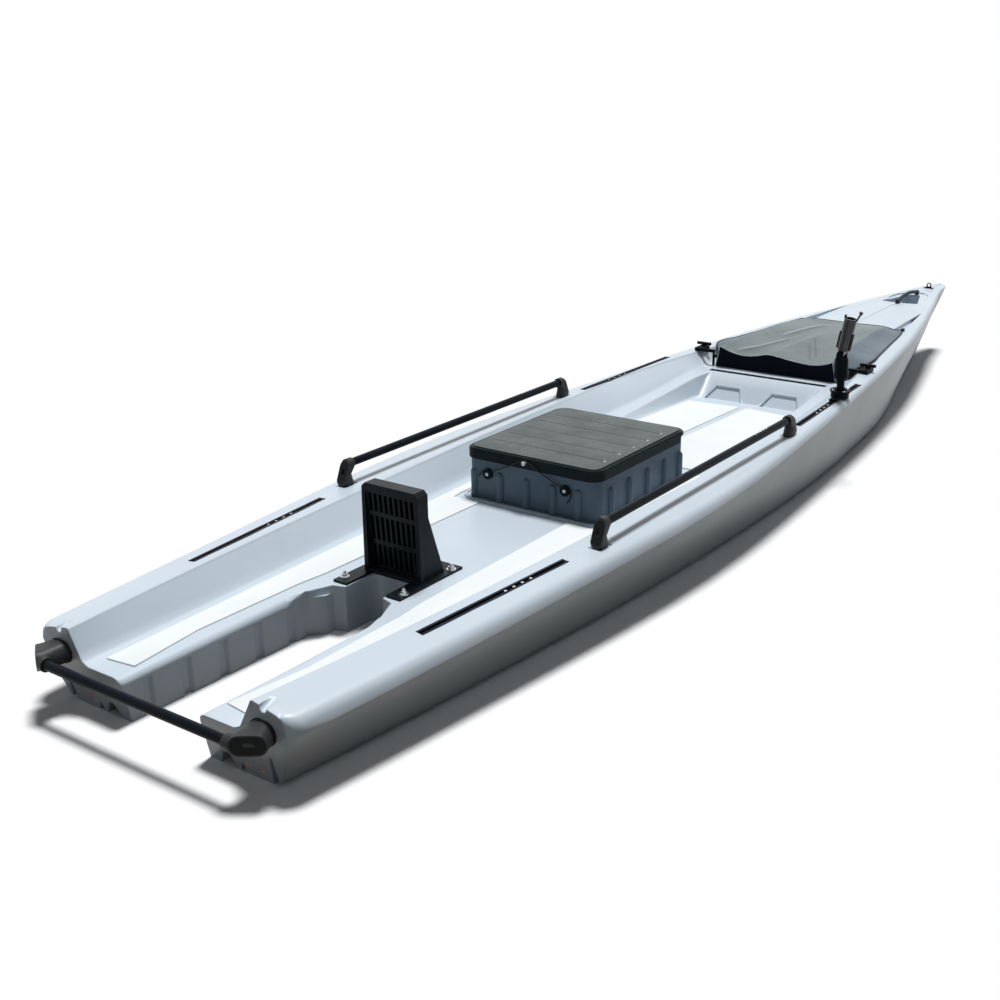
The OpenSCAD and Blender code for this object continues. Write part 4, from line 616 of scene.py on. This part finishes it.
class KAYAK_OT_metal(bpy.types.Operator):
    """Rails, tracks, bolts, nuts and brass inserts."""

    bl_idname = "kayak.metal"
    bl_label = "Metalwork"

    def execute(self, context):
        radius = context.scene.kayak_fittings.edge_radius

        tube = Surface("Coated rail tube", (0.003, 0.006, 0.011), 0.28, specular=0.05)
        tube.marked((0.009, 0.014, 0.021), (0.05, 0.06, 0.07), scale=10.0, scuffs=0.7).grain(1400.0, 0.00006)
        finish_nodes(["rail_port", "rail_stbd", "stern_bar"], tube.material)

        track = Surface("Anodised track", (0.005, 0.008, 0.016), 0.34, specular=0.05).rounded(radius / 3)
        track.marked((0.016, 0.021, 0.031), (0.09, 0.10, 0.11), scale=14.0, scuffs=0.8).grain(1800.0, 0.00004)
        finish_nodes(["track_aft_port", "track_aft_stbd", "track_fore_port", "track_fore_stbd",
                      "track_cross"], track.material)

        steel = Surface("Stainless steel", (0.62, 0.63, 0.64), 0.24, metallic=1.0).rounded(radius / 3)
        steel.marked((0.5, 0.51, 0.52), (0.35, 0.35, 0.35), scale=40.0, scuffs=0.5).grain(2500.0, 0.00003)
        finish_nodes(["bracket_studs", "bracket_washers", "bracket_nuts", "console_screws", "hinge_pins",
                      "rail_bolts", "cover_bolt_port", "cover_bolt_stbd", "rod_base_screws", "padeye_screws"],
                     steel.material)

        dark = Surface("Blackened bolt", (0.03, 0.03, 0.032), 0.35, metallic=0.7)
        dark.marked((0.05, 0.05, 0.052), (0.2, 0.2, 0.2), scale=40.0).grain(2500.0, 0.00003)
        finish_node("handle_bolts", dark.material)

        brass = Surface("Brass", (0.62, 0.46, 0.20), 0.32, metallic=1.0).rounded(radius / 4)
        brass.marked((0.5, 0.36, 0.16), (0.3, 0.24, 0.14), scale=60.0).grain(2500.0, 0.00003)
        finish_node("stern_inserts", brass.material)
        return {"FINISHED"}


# Places of the lid pad's grooves along it, and how far inside its starboard edge and how deep in it
# their rivets sit
GROOVE_SHARES = (0.174, 0.337, 0.5, 0.663, 0.826)
RIVET_INSET = 0.0235
RIVET_SINK = 0.0009
RIVET_RADIUS = 0.0034
RIVET_FLATNESS = 0.4
LID_PAD_EDGE = 0.0006


class KAYAK_OT_pads(bpy.types.Operator):
    """Foam pads on the floor and the rubber pad on the console's lid."""

    bl_idname = "kayak.pads"
    bl_label = "Pads"

    def execute(self, context):
        look = context.scene.kayak_pads
        self.foam_pads(look)
        self.lid_pad(tuple(look.rubber))
        self.lid_rivets()
        return {"FINISHED"}

    @staticmethod
    def foam_pads(look):
        """The four foam pads of the floor, in place of the CAD pads."""
        foam_colour = tuple(look.foam)
        foam = Surface("Foam pad", foam_colour, 0.72, specular=0.3)
        foam.marked(shade(foam_colour, 0.965), shade(foam_colour, 0.8), scale=8.0, scuffs=0.3)
        foam.bump(foam.use("Cell relief", Scale=420.0).outputs["Height"], 0.0003, 0.6)
        for node in ("side_pad_port", "side_pad_stbd", "fore_pad_port", "fore_pad_stbd"):
            pad = new_piece("foam_" + node, copied_pad(node, node + "_foam", look.edge), "hull",
                            [foam.material])
            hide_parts(node)

    @staticmethod
    def lid_pad(colour):
        """The grooved rubber pad of the lid, dusty where it is trodden on."""
        rubber = Surface("Lid pad rubber", colour, 0.55, specular=0.3)
        rubber.marked(shade(colour, 0.75), shade(colour, 3.6), scale=11.0, scuffs=1.0)
        tinted = rubber.shader.inputs["Base Color"].links[0].from_socket
        dusty = rubber.n.spread(rubber.n.noise(rubber.place, 120.0, 6.0, 0.8), 0.54, 0.74, 0.0, 0.7)
        trodden = rubber.n.spread(rubber.n.noise(rubber.place, 7.0), 0.42, 0.62)
        wear_and_crease_light = rubber.n.math("MULTIPLY", dusty, trodden)
        rubber.n.join(rubber.n.mix(wear_and_crease_light, tinted, (*shade(colour, 4.0), 1.0)),
                      rubber.shader.inputs["Base Color"])
        rubber.bump(rubber.use("Cell relief", Scale=260.0).outputs["Height"], 0.0007, 0.8)
        mat = new_piece("lid_rubber_pad", copied_pad("lid_pad", "lid_rubber", LID_PAD_EDGE), "lid",
                        [rubber.material])
        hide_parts("lid_pad")

    @staticmethod
    def lid_rivets():
        """The bright rivets at the starboard ends of the lid pad's grooves."""
        bright = Surface("Pad rivets", (0.72, 0.73, 0.73), 0.3, metallic=0.8)
        bright.marked((0.6, 0.6, 0.6), (0.4, 0.4, 0.4), scale=60.0).grain(2500.0, 0.00003)
        low, high = (Vector(c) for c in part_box("lid_pad"))
        made = bmesh.new()
        for share in GROOVE_SHARES:
            y = low.y + share * (high.y - low.y)
            top = high.z - (1 - share) * (high.y - low.y) * math.sin(TRIM)
            rivet = bmesh.ops.create_uvsphere(made, u_segments=12, v_segments=6, radius=RIVET_RADIUS)
            bmesh.ops.scale(made, vec=(1, 1, RIVET_FLATNESS), verts=rivet["verts"])
            bmesh.ops.translate(made, vec=(high.x - RIVET_INSET, y, top - RIVET_SINK), verts=rivet["verts"])
        for facet in made.faces:
            facet.smooth = True
        mesh = bpy.data.meshes.new("lid_pad_rivets")
        made.to_mesh(mesh)
        made.free()
        new_piece("lid_pad_rivets", mesh, "lid", [bright.material])


# Elastic over the console's catch, in the deck's own frame: distances from the console's aft face
FACE_Y = 1.288
RING_PORT = -0.139
RING_STBD = 0.116
RING_Z = 0.183
CATCH_X = -0.010
CATCH_Z = 0.239
ELASTIC_ROUTE = [
    (RING_PORT - 0.032, -0.0034, RING_Z - 0.012),
    (RING_PORT - 0.019, -0.0042, RING_Z + 0.004),
    (RING_PORT - 0.011, -0.0046, RING_Z + 0.006),
    (RING_PORT, -0.0046, RING_Z + 0.006),
    (RING_PORT + 0.013, -0.0048, RING_Z + 0.009),
    (RING_PORT + 0.067, -0.0095, RING_Z + 0.034),
    (CATCH_X - 0.008, -0.0105, CATCH_Z + 0.0042),
    (CATCH_X, -0.0105, CATCH_Z + 0.005),
    (CATCH_X + 0.008, -0.0105, CATCH_Z + 0.0042),
    (RING_STBD - 0.067, -0.0095, RING_Z + 0.034),
    (RING_STBD - 0.013, -0.0048, RING_Z + 0.009),
    (RING_STBD, -0.0046, RING_Z + 0.006),
    (RING_STBD + 0.011, -0.0046, RING_Z + 0.006),
    (RING_STBD + 0.018, -0.0042, RING_Z + 0.0036),
    (RING_STBD + 0.017, -0.0034, RING_Z - 0.014),
    (RING_STBD + 0.007, -0.0034, RING_Z - 0.034),
]
ELASTIC_RADIUS = 0.0016


def eased(points, steps):
    """A smooth path through points."""
    path = []
    for i in range(len(points) - 1):
        p0 = points[max(i - 1, 0)]
        p1 = points[i]
        p2 = points[i + 1]
        p3 = points[min(i + 2, len(points) - 1)]
        for k in range(steps):
            t = k / steps
            path.append(0.5 * (2 * p1 + (p2 - p0) * t + (2 * p0 - 5 * p1 + 4 * p2 - p3) * t * t
                               + (3 * p1 - p0 - 3 * p2 + p3) * t * t * t))
    path.append(points[-1])
    return path


class KAYAK_OT_elastic(bpy.types.Operator):
    """Elastic that holds the console's lid shut."""

    bl_idname = "kayak.elastic"
    bl_label = "Elastic"

    def execute(self, context):
        braid = Surface("Braided elastic", (0.012, 0.012, 0.014), 0.6, specular=0.15)
        braid.marked((0.03, 0.03, 0.03), (0.08, 0.08, 0.08), scale=60.0)
        braid.woven(1500.0, 0.0002)
        points = [on_craft(x, FACE_Y + y, z) for x, y, z in ELASTIC_ROUTE]
        path = eased(points, 5)
        elastic = new_piece("console_elastic", tube_mesh("console_elastic", path, ELASTIC_RADIUS, 10),
                            "hull", [braid.material])
        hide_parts("elastic_cord")
        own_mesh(elastic)
        return {"FINISHED"}


# Bow cover, in the deck's own frame and in metres: distance along the hull, half-width and height of
# the rim, half-width of the ridge to port and to starboard, then the heights between the two ridges
COVER_ROWS = [
    (2.8165, 0.2325, 0.160, 0.218, 0.218,
     (0.232, 0.221, 0.2125, 0.208, 0.213, 0.2235, 0.2205, 0.2135, 0.2085, 0.208, 0.216, 0.228)),
    (2.880, 0.258, 0.186, 0.213, 0.212,
     (0.235, 0.226, 0.218, 0.2135, 0.217, 0.226, 0.224, 0.2175, 0.213, 0.213, 0.221, 0.234)),
    (2.957, 0.2985, 0.2085, 0.208, 0.205,
     (0.239, 0.231, 0.224, 0.2195, 0.222, 0.2295, 0.2275, 0.222, 0.218, 0.2185, 0.226, 0.239)),
    (3.100, 0.281, 0.2065, 0.200, 0.192,
     (0.240, 0.236, 0.231, 0.2275, 0.229, 0.2345, 0.2335, 0.229, 0.226, 0.227, 0.232, 0.2405)),
    (3.280, 0.254, 0.2070, 0.187, 0.172,
     (0.238, 0.2365, 0.2345, 0.233, 0.233, 0.2345, 0.2345, 0.2335, 0.2325, 0.2325, 0.2345, 0.2375)),
    (3.450, 0.229, 0.2080, 0.173, 0.156,
     (0.225, 0.227, 0.227, 0.2265, 0.226, 0.226, 0.226, 0.2265, 0.227, 0.227, 0.2265, 0.2245)),
    (3.5285, 0.2095, 0.2085, 0.166, 0.149,
     (0.2115, 0.2135, 0.214, 0.2135, 0.213, 0.2125, 0.2125, 0.213, 0.2135, 0.214, 0.2135, 0.2115)),
]
RIDGE_SHARES = (-1.0, -0.87, -0.72, -0.54, -0.34, -0.14, 0.05, 0.28, 0.50, 0.69, 0.87, 1.0)
SIDE_SHARE = 0.16
# Ends of the creases as (x, distance along the hull), then half-width, height and brightness: the strength of
# the painted highlight along the crease, painted shade where it is negative
CREASES = [
    ((-0.107, 3.112), (-0.031, 3.345), 0.0065, 1.0, 1.0),
    ((-0.161, 2.846), (-0.046, 3.069), 0.0065, 1.1, 0.9),
    ((0.036, 3.035), (0.115, 2.862), 0.0050, -0.55, -0.6),
    ((0.024, 3.114), (0.125, 2.890), 0.0050, -0.55, -0.6),
    ((-0.030, 2.850), (0.020, 3.220), 0.0220, 0.30, 0.15),
    ((0.070, 3.145), (0.150, 3.400), 0.0180, 0.30, 0.1),
]
# A crease is whole over this share of its length on each side of its middle, and then fades out
CREASE_WHOLE = 0.30
CREASE_FADE = 0.24
# Its slack side is wider than its taut one, and the painted line of light and shade on it is narrower, by
# these factors
CREASE_SLACK = 2.2
CREASE_LIGHT_NARROWING = 0.6
# Ripples of the cloth: how close across and along, their slant, their place in the noise, and height
RIPPLES = [
    (13, 5, 6, 3.7, 0.0018),
    (38, 20, 0, 9.1, 0.0006),
]
# How steeply the ripples and creases grow from the rim and from the ends, and what the aft end has
RIM_GROWTH = 12
END_GROWTH = 14
AFT_RIPPLE = 0.25
# How far the cloth between a ridge and the rim hangs in
SIDE_SAG = 0.004
# The aft flap: its rows, how far it hangs below the rim, how far aft it stands, and its wave
FLAP_ROWS = 12
FLAP_DROP = 0.0025
FLAP_STAND = 0.0004
FLAP_WAVE = 0.0012
FLAP_WAVES = 31
# The hem's cord leaves out this share of the cover's length at the aft end
HEM_START = 1 / 8
HEM_RADIUS = 0.0023
PIPING_RADIUS = 0.0015
PIPING_RISE = 0.0006
TOGGLE_RADIUS = 0.0075
TOGGLE_RISES = (-0.001, 0.004, 0.009)
TOGGLE_ROUNDING = 0.003


def between(table, at):
    """Smooth value of a table of (place, value) pairs at a place."""
    for i in range(len(table) - 1):
        if at <= table[i + 1][0] or i == len(table) - 2:
            break
    (x0, v0), (x1, v1) = table[i], table[i + 1]
    before = table[max(i - 1, 0)]
    after = table[min(i + 2, len(table) - 1)]
    step = x1 - x0
    t = min(max((at - x0) / step, 0.0), 1.0)
    m0 = (v1 - before[1]) / (x1 - before[0]) * step
    m1 = (after[1] - v0) / (after[0] - x0) * step
    return ((2 * t ** 3 - 3 * t ** 2 + 1) * v0 + (t ** 3 - 2 * t ** 2 + t) * m0
            + (3 * t ** 2 - 2 * t ** 3) * v1 + (t ** 3 - t ** 2) * m1)


def cover_section(along):
    """The cover's section there: rim half-width and height, ridges, and the heights between them."""
    def column(pick):
        return between([(row[0], pick(row)) for row in COVER_ROWS], along)
    heights = [column(lambda row, k=k: row[5][k]) for k in range(len(RIDGE_SHARES))]
    return (column(lambda row: row[1]), column(lambda row: row[2]),
            column(lambda row: row[3]), column(lambda row: row[4]), heights)


def cover_place(look, j):
    """Distance along the hull of row j of the cover."""
    first, last = COVER_ROWS[0][0], COVER_ROWS[-1][0]
    return first + (last - first) * j / look.rows


def cover_point(look, grid, i, j, rise=0.0):
    """Point i of the cover's row j in the scene, raised if need be."""
    x, z, _ = grid[j][i]
    return on_craft(x, cover_place(look, j), z + rise)


def crease_at(x, along):
    """Lift of the creases there, as a share of their height, and their painted light: highlight where
    positive, shade where negative.
    """
    lift = 0.0
    bright = 0.0
    for (ax, ay), (bx, by), width, height, shine in CREASES:
        run = Vector((bx - ax, by - ay))
        p = Vector((x - ax, along - ay))
        t = p.dot(run) / run.length_squared
        off = (p.x * run.y - p.y * run.x) / run.length
        fade = max(0.0, 1.0 - (max(0.0, abs(t - 0.5) - CREASE_WHOLE) / CREASE_FADE) ** 2)
        spread = width if off > 0 else width * CREASE_SLACK
        lift += height * fade * math.exp(-(off / spread) ** 2)
        # Painted light along the crease: highlight where the brightness is positive, shade where it is
        # negative
        bright += shine * fade * math.exp(-(off / (width * CREASE_LIGHT_NARROWING)) ** 2)
    return lift, bright


def ripple_at(x, along):
    """Height of the cloth's fine ripples there."""
    return sum(height * noise.noise(Vector((x * across, along * lengthwise + x * slant, place)))
               for across, lengthwise, slant, place, height in RIPPLES)


class KAYAK_OT_cover(bpy.types.Operator):
    """Bow cover: coated cloth stretched over its bar, with an aft flap, a bright piping and a corded hem."""

    bl_idname = "kayak.cover"
    bl_label = "Bow cover"

    def execute(self, context):
        look = context.scene.kayak_cover
        grid = [self.row(look, j) for j in range(look.rows + 1)]
        # The third material is the side cloth, darkened as painted shade
        cover = new_piece("bow_cover_sheet", self.cloth_mesh(look, grid), "cover",
                          [self.coated("Coated cover cloth", tuple(look.colour)), self.dark_flap(),
                           self.coated("Cover side cloth with painted shade", tuple(look.sides))])
        thick = cover.modifiers.new("Cloth thickness", "SOLIDIFY")
        thick.thickness = look.thickness
        thick.offset = -1
        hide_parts("bow_cover")
        hem = self.hem(look, grid)
        toggle = self.toggle(look, grid)
        piping = self.piping(look, grid)
        return {"FINISHED"}

    @staticmethod
    def row(look, j):
        """Points (x, z, painted crease light) of the cover's row j, from port to starboard."""
        along = cover_place(look, j)
        half, low, port_ridge, stbd_ridge, heights = cover_section(along)
        shape = list(zip(RIDGE_SHARES, heights))
        points = []
        for i in range(look.columns + 1):
            share = 2 * i / look.columns - 1
            inner = share / (1 - SIDE_SHARE)
            if abs(inner) <= 1:
                x = inner * (port_ridge if inner < 0 else stbd_ridge)
                z = between(shape, inner)
            else:
                t = (abs(share) - (1 - SIDE_SHARE)) / SIDE_SHARE
                ridge = port_ridge if share < 0 else stbd_ridge
                top = heights[0] if share < 0 else heights[-1]
                x = math.copysign(ridge + (half - ridge) * t, share)
                z = top + (low - top) * t - SIDE_SAG * math.sin(math.pi * t)
            lift, bright = crease_at(x, along)
            from_aft = j / look.rows
            ease = min(1.0, RIM_GROWTH * (1 - abs(share)), END_GROWTH * (1 - from_aft),
                       AFT_RIPPLE + END_GROWTH * from_aft)
            rise = look.crease_height * lift + ripple_at(x, along)
            points.append((x, z + ease * rise, bright * ease))
        return points

    @staticmethod
    def cloth_mesh(look, grid):
        """The aft flap and the cover's rows as one mesh: cloth, flap and the sides' cloth with painted shade
        are its three materials.
        """
        first = COVER_ROWS[0][0]
        foot = COVER_ROWS[0][2] - FLAP_DROP
        side_points = round(SIDE_SHARE * look.columns / 2)
        made = bmesh.new()
        # Per point, the strength of the painted highlight and painted shade along the creases
        wear_and_crease_light = made.verts.layers.float.new("Painted crease light")
        sheet = []
        for k in range(FLAP_ROWS, 0, -1):
            share = k / FLAP_ROWS
            line = []
            for x, z, _ in grid[0]:
                wave = FLAP_WAVE * math.sin(math.pi * share) * math.sin(x * FLAP_WAVES + 1)
                place = on_craft(x, first - FLAP_STAND + wave, z + (foot - z) * share)
                line.append(made.verts.new(place))
            sheet.append(line)
        for j, points in enumerate(grid):
            line = []
            for i, (_, _, bright) in enumerate(points):
                vert = made.verts.new(cover_point(look, grid, i, j))
                vert[wear_and_crease_light] = bright
                line.append(vert)
            sheet.append(line)
        for j in range(len(sheet) - 1):
            for a, b, c, d in zip(sheet[j], sheet[j][1:], sheet[j + 1][1:], sheet[j + 1]):
                face = made.faces.new((a, b, c, d))
                face.smooth = True
                middle = sum(v.co.x for v in (a, b)) / 2
                row_at = max(0, j - FLAP_ROWS)
                ridges = (grid[row_at][side_points][0], grid[row_at][-1 - side_points][0])
                beside = middle < ridges[0] or middle > ridges[1]
                # Faces beside the ridges take the side cloth, darkened as painted shade
                face.material_index = 1 if j < FLAP_ROWS else (2 if beside else 0)
        bmesh.ops.recalc_face_normals(made, faces=made.faces)
        if sum(f.normal.z * f.calc_area() for f in made.faces) < 0:
            bmesh.ops.reverse_faces(made, faces=made.faces)
        cloth = bpy.data.meshes.new("bow_cover_cloth")
        made.to_mesh(cloth)
        made.free()
        return cloth

    def hem(self, look, grid):
        """The cord in the hem, round the rim from starboard over the fore end to port."""
        cord = self.plain("Hem cord", (0.010, 0.011, 0.013), 0.6)
        start = int(HEM_START * look.rows)
        rim = [cover_point(look, grid, -1, j) for j in range(start, look.rows)]
        rim += [cover_point(look, grid, i, look.rows) for i in range(look.columns, -1, -1)]
        rim += [cover_point(look, grid, 0, j) for j in range(look.rows - 1, start - 1, -1)]
        return new_piece("bow_cover_hem", tube_mesh("bow_cover_hem", rim[::2], HEM_RADIUS, 8), "cover",
                         [cord])

    def toggle(self, look, grid):
        """The round-ended toggle on the hem's cord at the cover's fore starboard corner."""
        path = [cover_point(look, grid, -1, look.rows - 2, rise) for rise in TOGGLE_RISES]
        lump = tube_mesh("bow_cover_toggle", eased(path, 3), TOGGLE_RADIUS, 14)
        toggle = new_piece("bow_cover_toggle", lump, "cover",
                           [self.plain("Corner toggle", (0.008, 0.009, 0.010), 0.35)])
        rounded = toggle.modifiers.new("Rounded ends", "BEVEL")
        rounded.width = TOGGLE_ROUNDING
        rounded.segments = 3
        return toggle

    def piping(self, look, grid):
        """The bright piping along the cover's aft edge, above the flap."""
        trim = self.plain("Aft piping", (0.42, 0.46, 0.46), 0.4)
        edge = [cover_point(look, grid, i, 0, PIPING_RISE) for i in range(look.columns + 1)]
        return new_piece("bow_cover_piping", tube_mesh("bow_cover_piping", edge, PIPING_RADIUS, 8), "cover",
                         [trim])

    @staticmethod
    def coated(name, colour):
        """Coated cloth with painted highlights along its raised creases and painted shade along its sunken
        ones.
        """
        cloth = Surface(name, colour, 0.40, specular=0.3)
        cloth.marked(shade(colour, 0.80), shade(colour, 1.45), scale=6.0, scuffs=0.6, rough=0.1)
        n = cloth.n
        # Painted light of the creases: towards a light grey as painted highlight, towards near black as
        # painted shade
        wear_and_crease_light = n.add("ShaderNodeAttribute", attribute_name="Painted crease light")
        tinted = cloth.shader.inputs["Base Color"].links[0].from_socket
        bright = n.mix(n.spread(wear_and_crease_light.outputs["Fac"], 0.05, 1.0), tinted, (0.56, 0.58, 0.555, 1.0))
        dark = n.spread(wear_and_crease_light.outputs["Fac"], -0.6, -0.05, 0.35, 1.0)
        n.join(n.mix(dark, (*shade(colour, 0.22), 1.0), bright), cloth.shader.inputs["Base Color"])
        return cloth.woven(1300.0, 0.00022).material

    @staticmethod
    def dark_flap():
        """Near-black woven surface of the aft flap."""
        cloth = Surface("Cover flap cloth", (0.002, 0.004, 0.008), 0.6, specular=0.05)
        cloth.marked((0.004, 0.007, 0.012), (0.014, 0.018, 0.024), scale=10.0)
        return cloth.woven(1300.0, 0.00022).material

    @staticmethod
    def plain(name, colour, roughness):
        """Braid or plastic of the cover's small pieces."""
        made = Surface(name, colour, roughness, specular=0.3)
        made.marked(shade(colour, 1.8), shade(colour, 3.0), scale=40.0)
        return made.woven(1500.0, 0.0002).material


# Half of the studio floor's side, in metres
FLOOR_REACH = 120.0
SKY_TINT = (0.93, 0.97, 1.02)


class KAYAK_OT_studio(bpy.types.Operator):
    """Floor, lights and camera."""

    bl_idname = "kayak.studio"
    bl_label = "Studio"

    def execute(self, context):
        scene = context.scene
        look = scene.kayak_studio
        self.paper_floor(scene, look)
        scene.world = self.sky(look)
        self.key_light(scene, look)
        scene.camera = self.camera(scene, look)
        scene.view_settings.view_transform = "Standard"
        return {"FINISHED"}

    def paper_floor(self, scene, look):
        """White paper under the craft, which sends back less light than it shows to the camera."""
        made = bmesh.new()
        bmesh.ops.create_grid(made, x_segments=1, y_segments=1, size=FLOOR_REACH)
        mesh = bpy.data.meshes.new("studio_floor")
        made.to_mesh(mesh)
        made.free()
        floor = bpy.data.objects.new("studio_floor", mesh)
        scene.collection.objects.link(floor)

        paper = bpy.data.materials.new("Studio paper")
        paper.use_nodes = True
        n = Nodes(paper.node_tree)
        paper.node_tree.nodes.clear()
        diffuse = n.add("ShaderNodeBsdfDiffuse")
        n.join(n.mix(self.seen_rays(n), (*look.bounce, 1.0), (*look.floor, 1.0)), diffuse.inputs["Color"])
        n.join(diffuse.outputs[0], n.add("ShaderNodeOutputMaterial").inputs["Surface"])
        mesh.materials.append(paper)

    def sky(self, look):
        """A world that shows white and lights the craft faintly and a little blue."""
        world = bpy.data.worlds.new("Studio sky")
        world.use_nodes = True
        n = Nodes(world.node_tree)
        world.node_tree.nodes.clear()
        background = n.add("ShaderNodeBackground")
        light = (*(tint * look.sky for tint in SKY_TINT), 1.0)
        n.join(n.mix(self.seen_rays(n), light, (1.0, 1.0, 1.0, 1.0)), background.inputs["Color"])
        n.join(background.outputs[0], n.add("ShaderNodeOutputWorld").inputs["Surface"])
        return world

    @staticmethod
    def key_light(scene, look):
        """One soft sun from above."""
        key = bpy.data.lights.new("Key light", "SUN")
        key.energy = look.key
        key.angle = look.softness
        lamp = bpy.data.objects.new("Key light", key)
        lamp.rotation_euler = Vector(look.key_from).to_track_quat("Z", "Y").to_euler()
        scene.collection.objects.link(lamp)

    def camera(self, scene, look):
        """The camera, where the photograph's stands."""
        lens = bpy.data.cameras.new("Camera")
        lens.lens = look.lens
        lens.sensor_width = 36
        lens.clip_end = 500
        camera = bpy.data.objects.new("Camera", lens)
        camera.matrix_world = self.camera_frame(look)
        scene.collection.objects.link(camera)
        return camera

    @staticmethod
    def seen_rays(n):
        """1 for rays from the camera, mirrors and glass, and 0 for the light that falls on the craft."""
        path = n.add("ShaderNodeLightPath")
        clear = n.math("MAXIMUM", path.outputs["Is Camera Ray"], path.outputs["Is Transmission Ray"])
        return n.math("MAXIMUM", clear, path.outputs["Is Glossy Ray"])

    @staticmethod
    def camera_frame(look):
        """The camera's place and turn from its azimuth, elevation and roll."""
        ahead = Vector((math.sin(look.azimuth) * math.cos(look.elevation),
                        -math.cos(look.azimuth) * math.cos(look.elevation), math.sin(look.elevation)))
        right = Vector((math.cos(look.azimuth), math.sin(look.azimuth), 0))
        up = ahead.cross(right)
        tilted_right = math.cos(look.roll) * right + math.sin(look.roll) * up
        tilted_up = math.cos(look.roll) * up - math.sin(look.roll) * right
        turn = Matrix((tilted_right, tilted_up, ahead)).transposed().to_4x4()
        turn.translation = Vector(look.place)
        return turn


class KAYAK_PT_panel(bpy.types.Panel):
    """Sidebar panel with the settings and steps of the kayak."""

    bl_label = "Kayak"
    bl_idname = "KAYAK_PT_panel"
    bl_space_type = "VIEW_3D"
    bl_region_type = "UI"
    bl_category = "Kayak"

    def draw(self, context):
        layout = self.layout
        for name in SETTINGS:
            settings = getattr(context.scene, name)
            box = layout.box()
            for key in settings.__annotations__:
                box.prop(settings, key)
        for step in STEPS:
            layout.operator(step.bl_idname)


SETTINGS = {
    "kayak_hull": HullLook,
    "kayak_fittings": FittingLook,
    "kayak_cover": CoverLook,
    "kayak_pads": PadLook,
    "kayak_studio": StudioLook,
}
STEPS = (KAYAK_OT_studio, KAYAK_OT_elastic, KAYAK_OT_hull, KAYAK_OT_fittings, KAYAK_OT_metal,
         KAYAK_OT_pads, KAYAK_OT_cover)


def register():
    for name, settings in SETTINGS.items():
        bpy.utils.register_class(settings)
        setattr(bpy.types.Scene, name, PointerProperty(type=settings))
    for step in STEPS:
        bpy.utils.register_class(step)
    bpy.utils.register_class(KAYAK_PT_panel)


def unregister():
    bpy.utils.unregister_class(KAYAK_PT_panel)
    for step in reversed(STEPS):
        bpy.utils.unregister_class(step)
    for name, settings in SETTINGS.items():
        delattr(bpy.types.Scene, name)
        bpy.utils.unregister_class(settings)


def main():
    register()
    bpy.ops.kayak.studio()
    bpy.ops.kayak.elastic()
    bpy.ops.kayak.hull()
    bpy.ops.kayak.fittings()
    bpy.ops.kayak.metal()
    bpy.ops.kayak.pads()
    bpy.ops.kayak.cover()


if __name__ == "__main__":
    main()
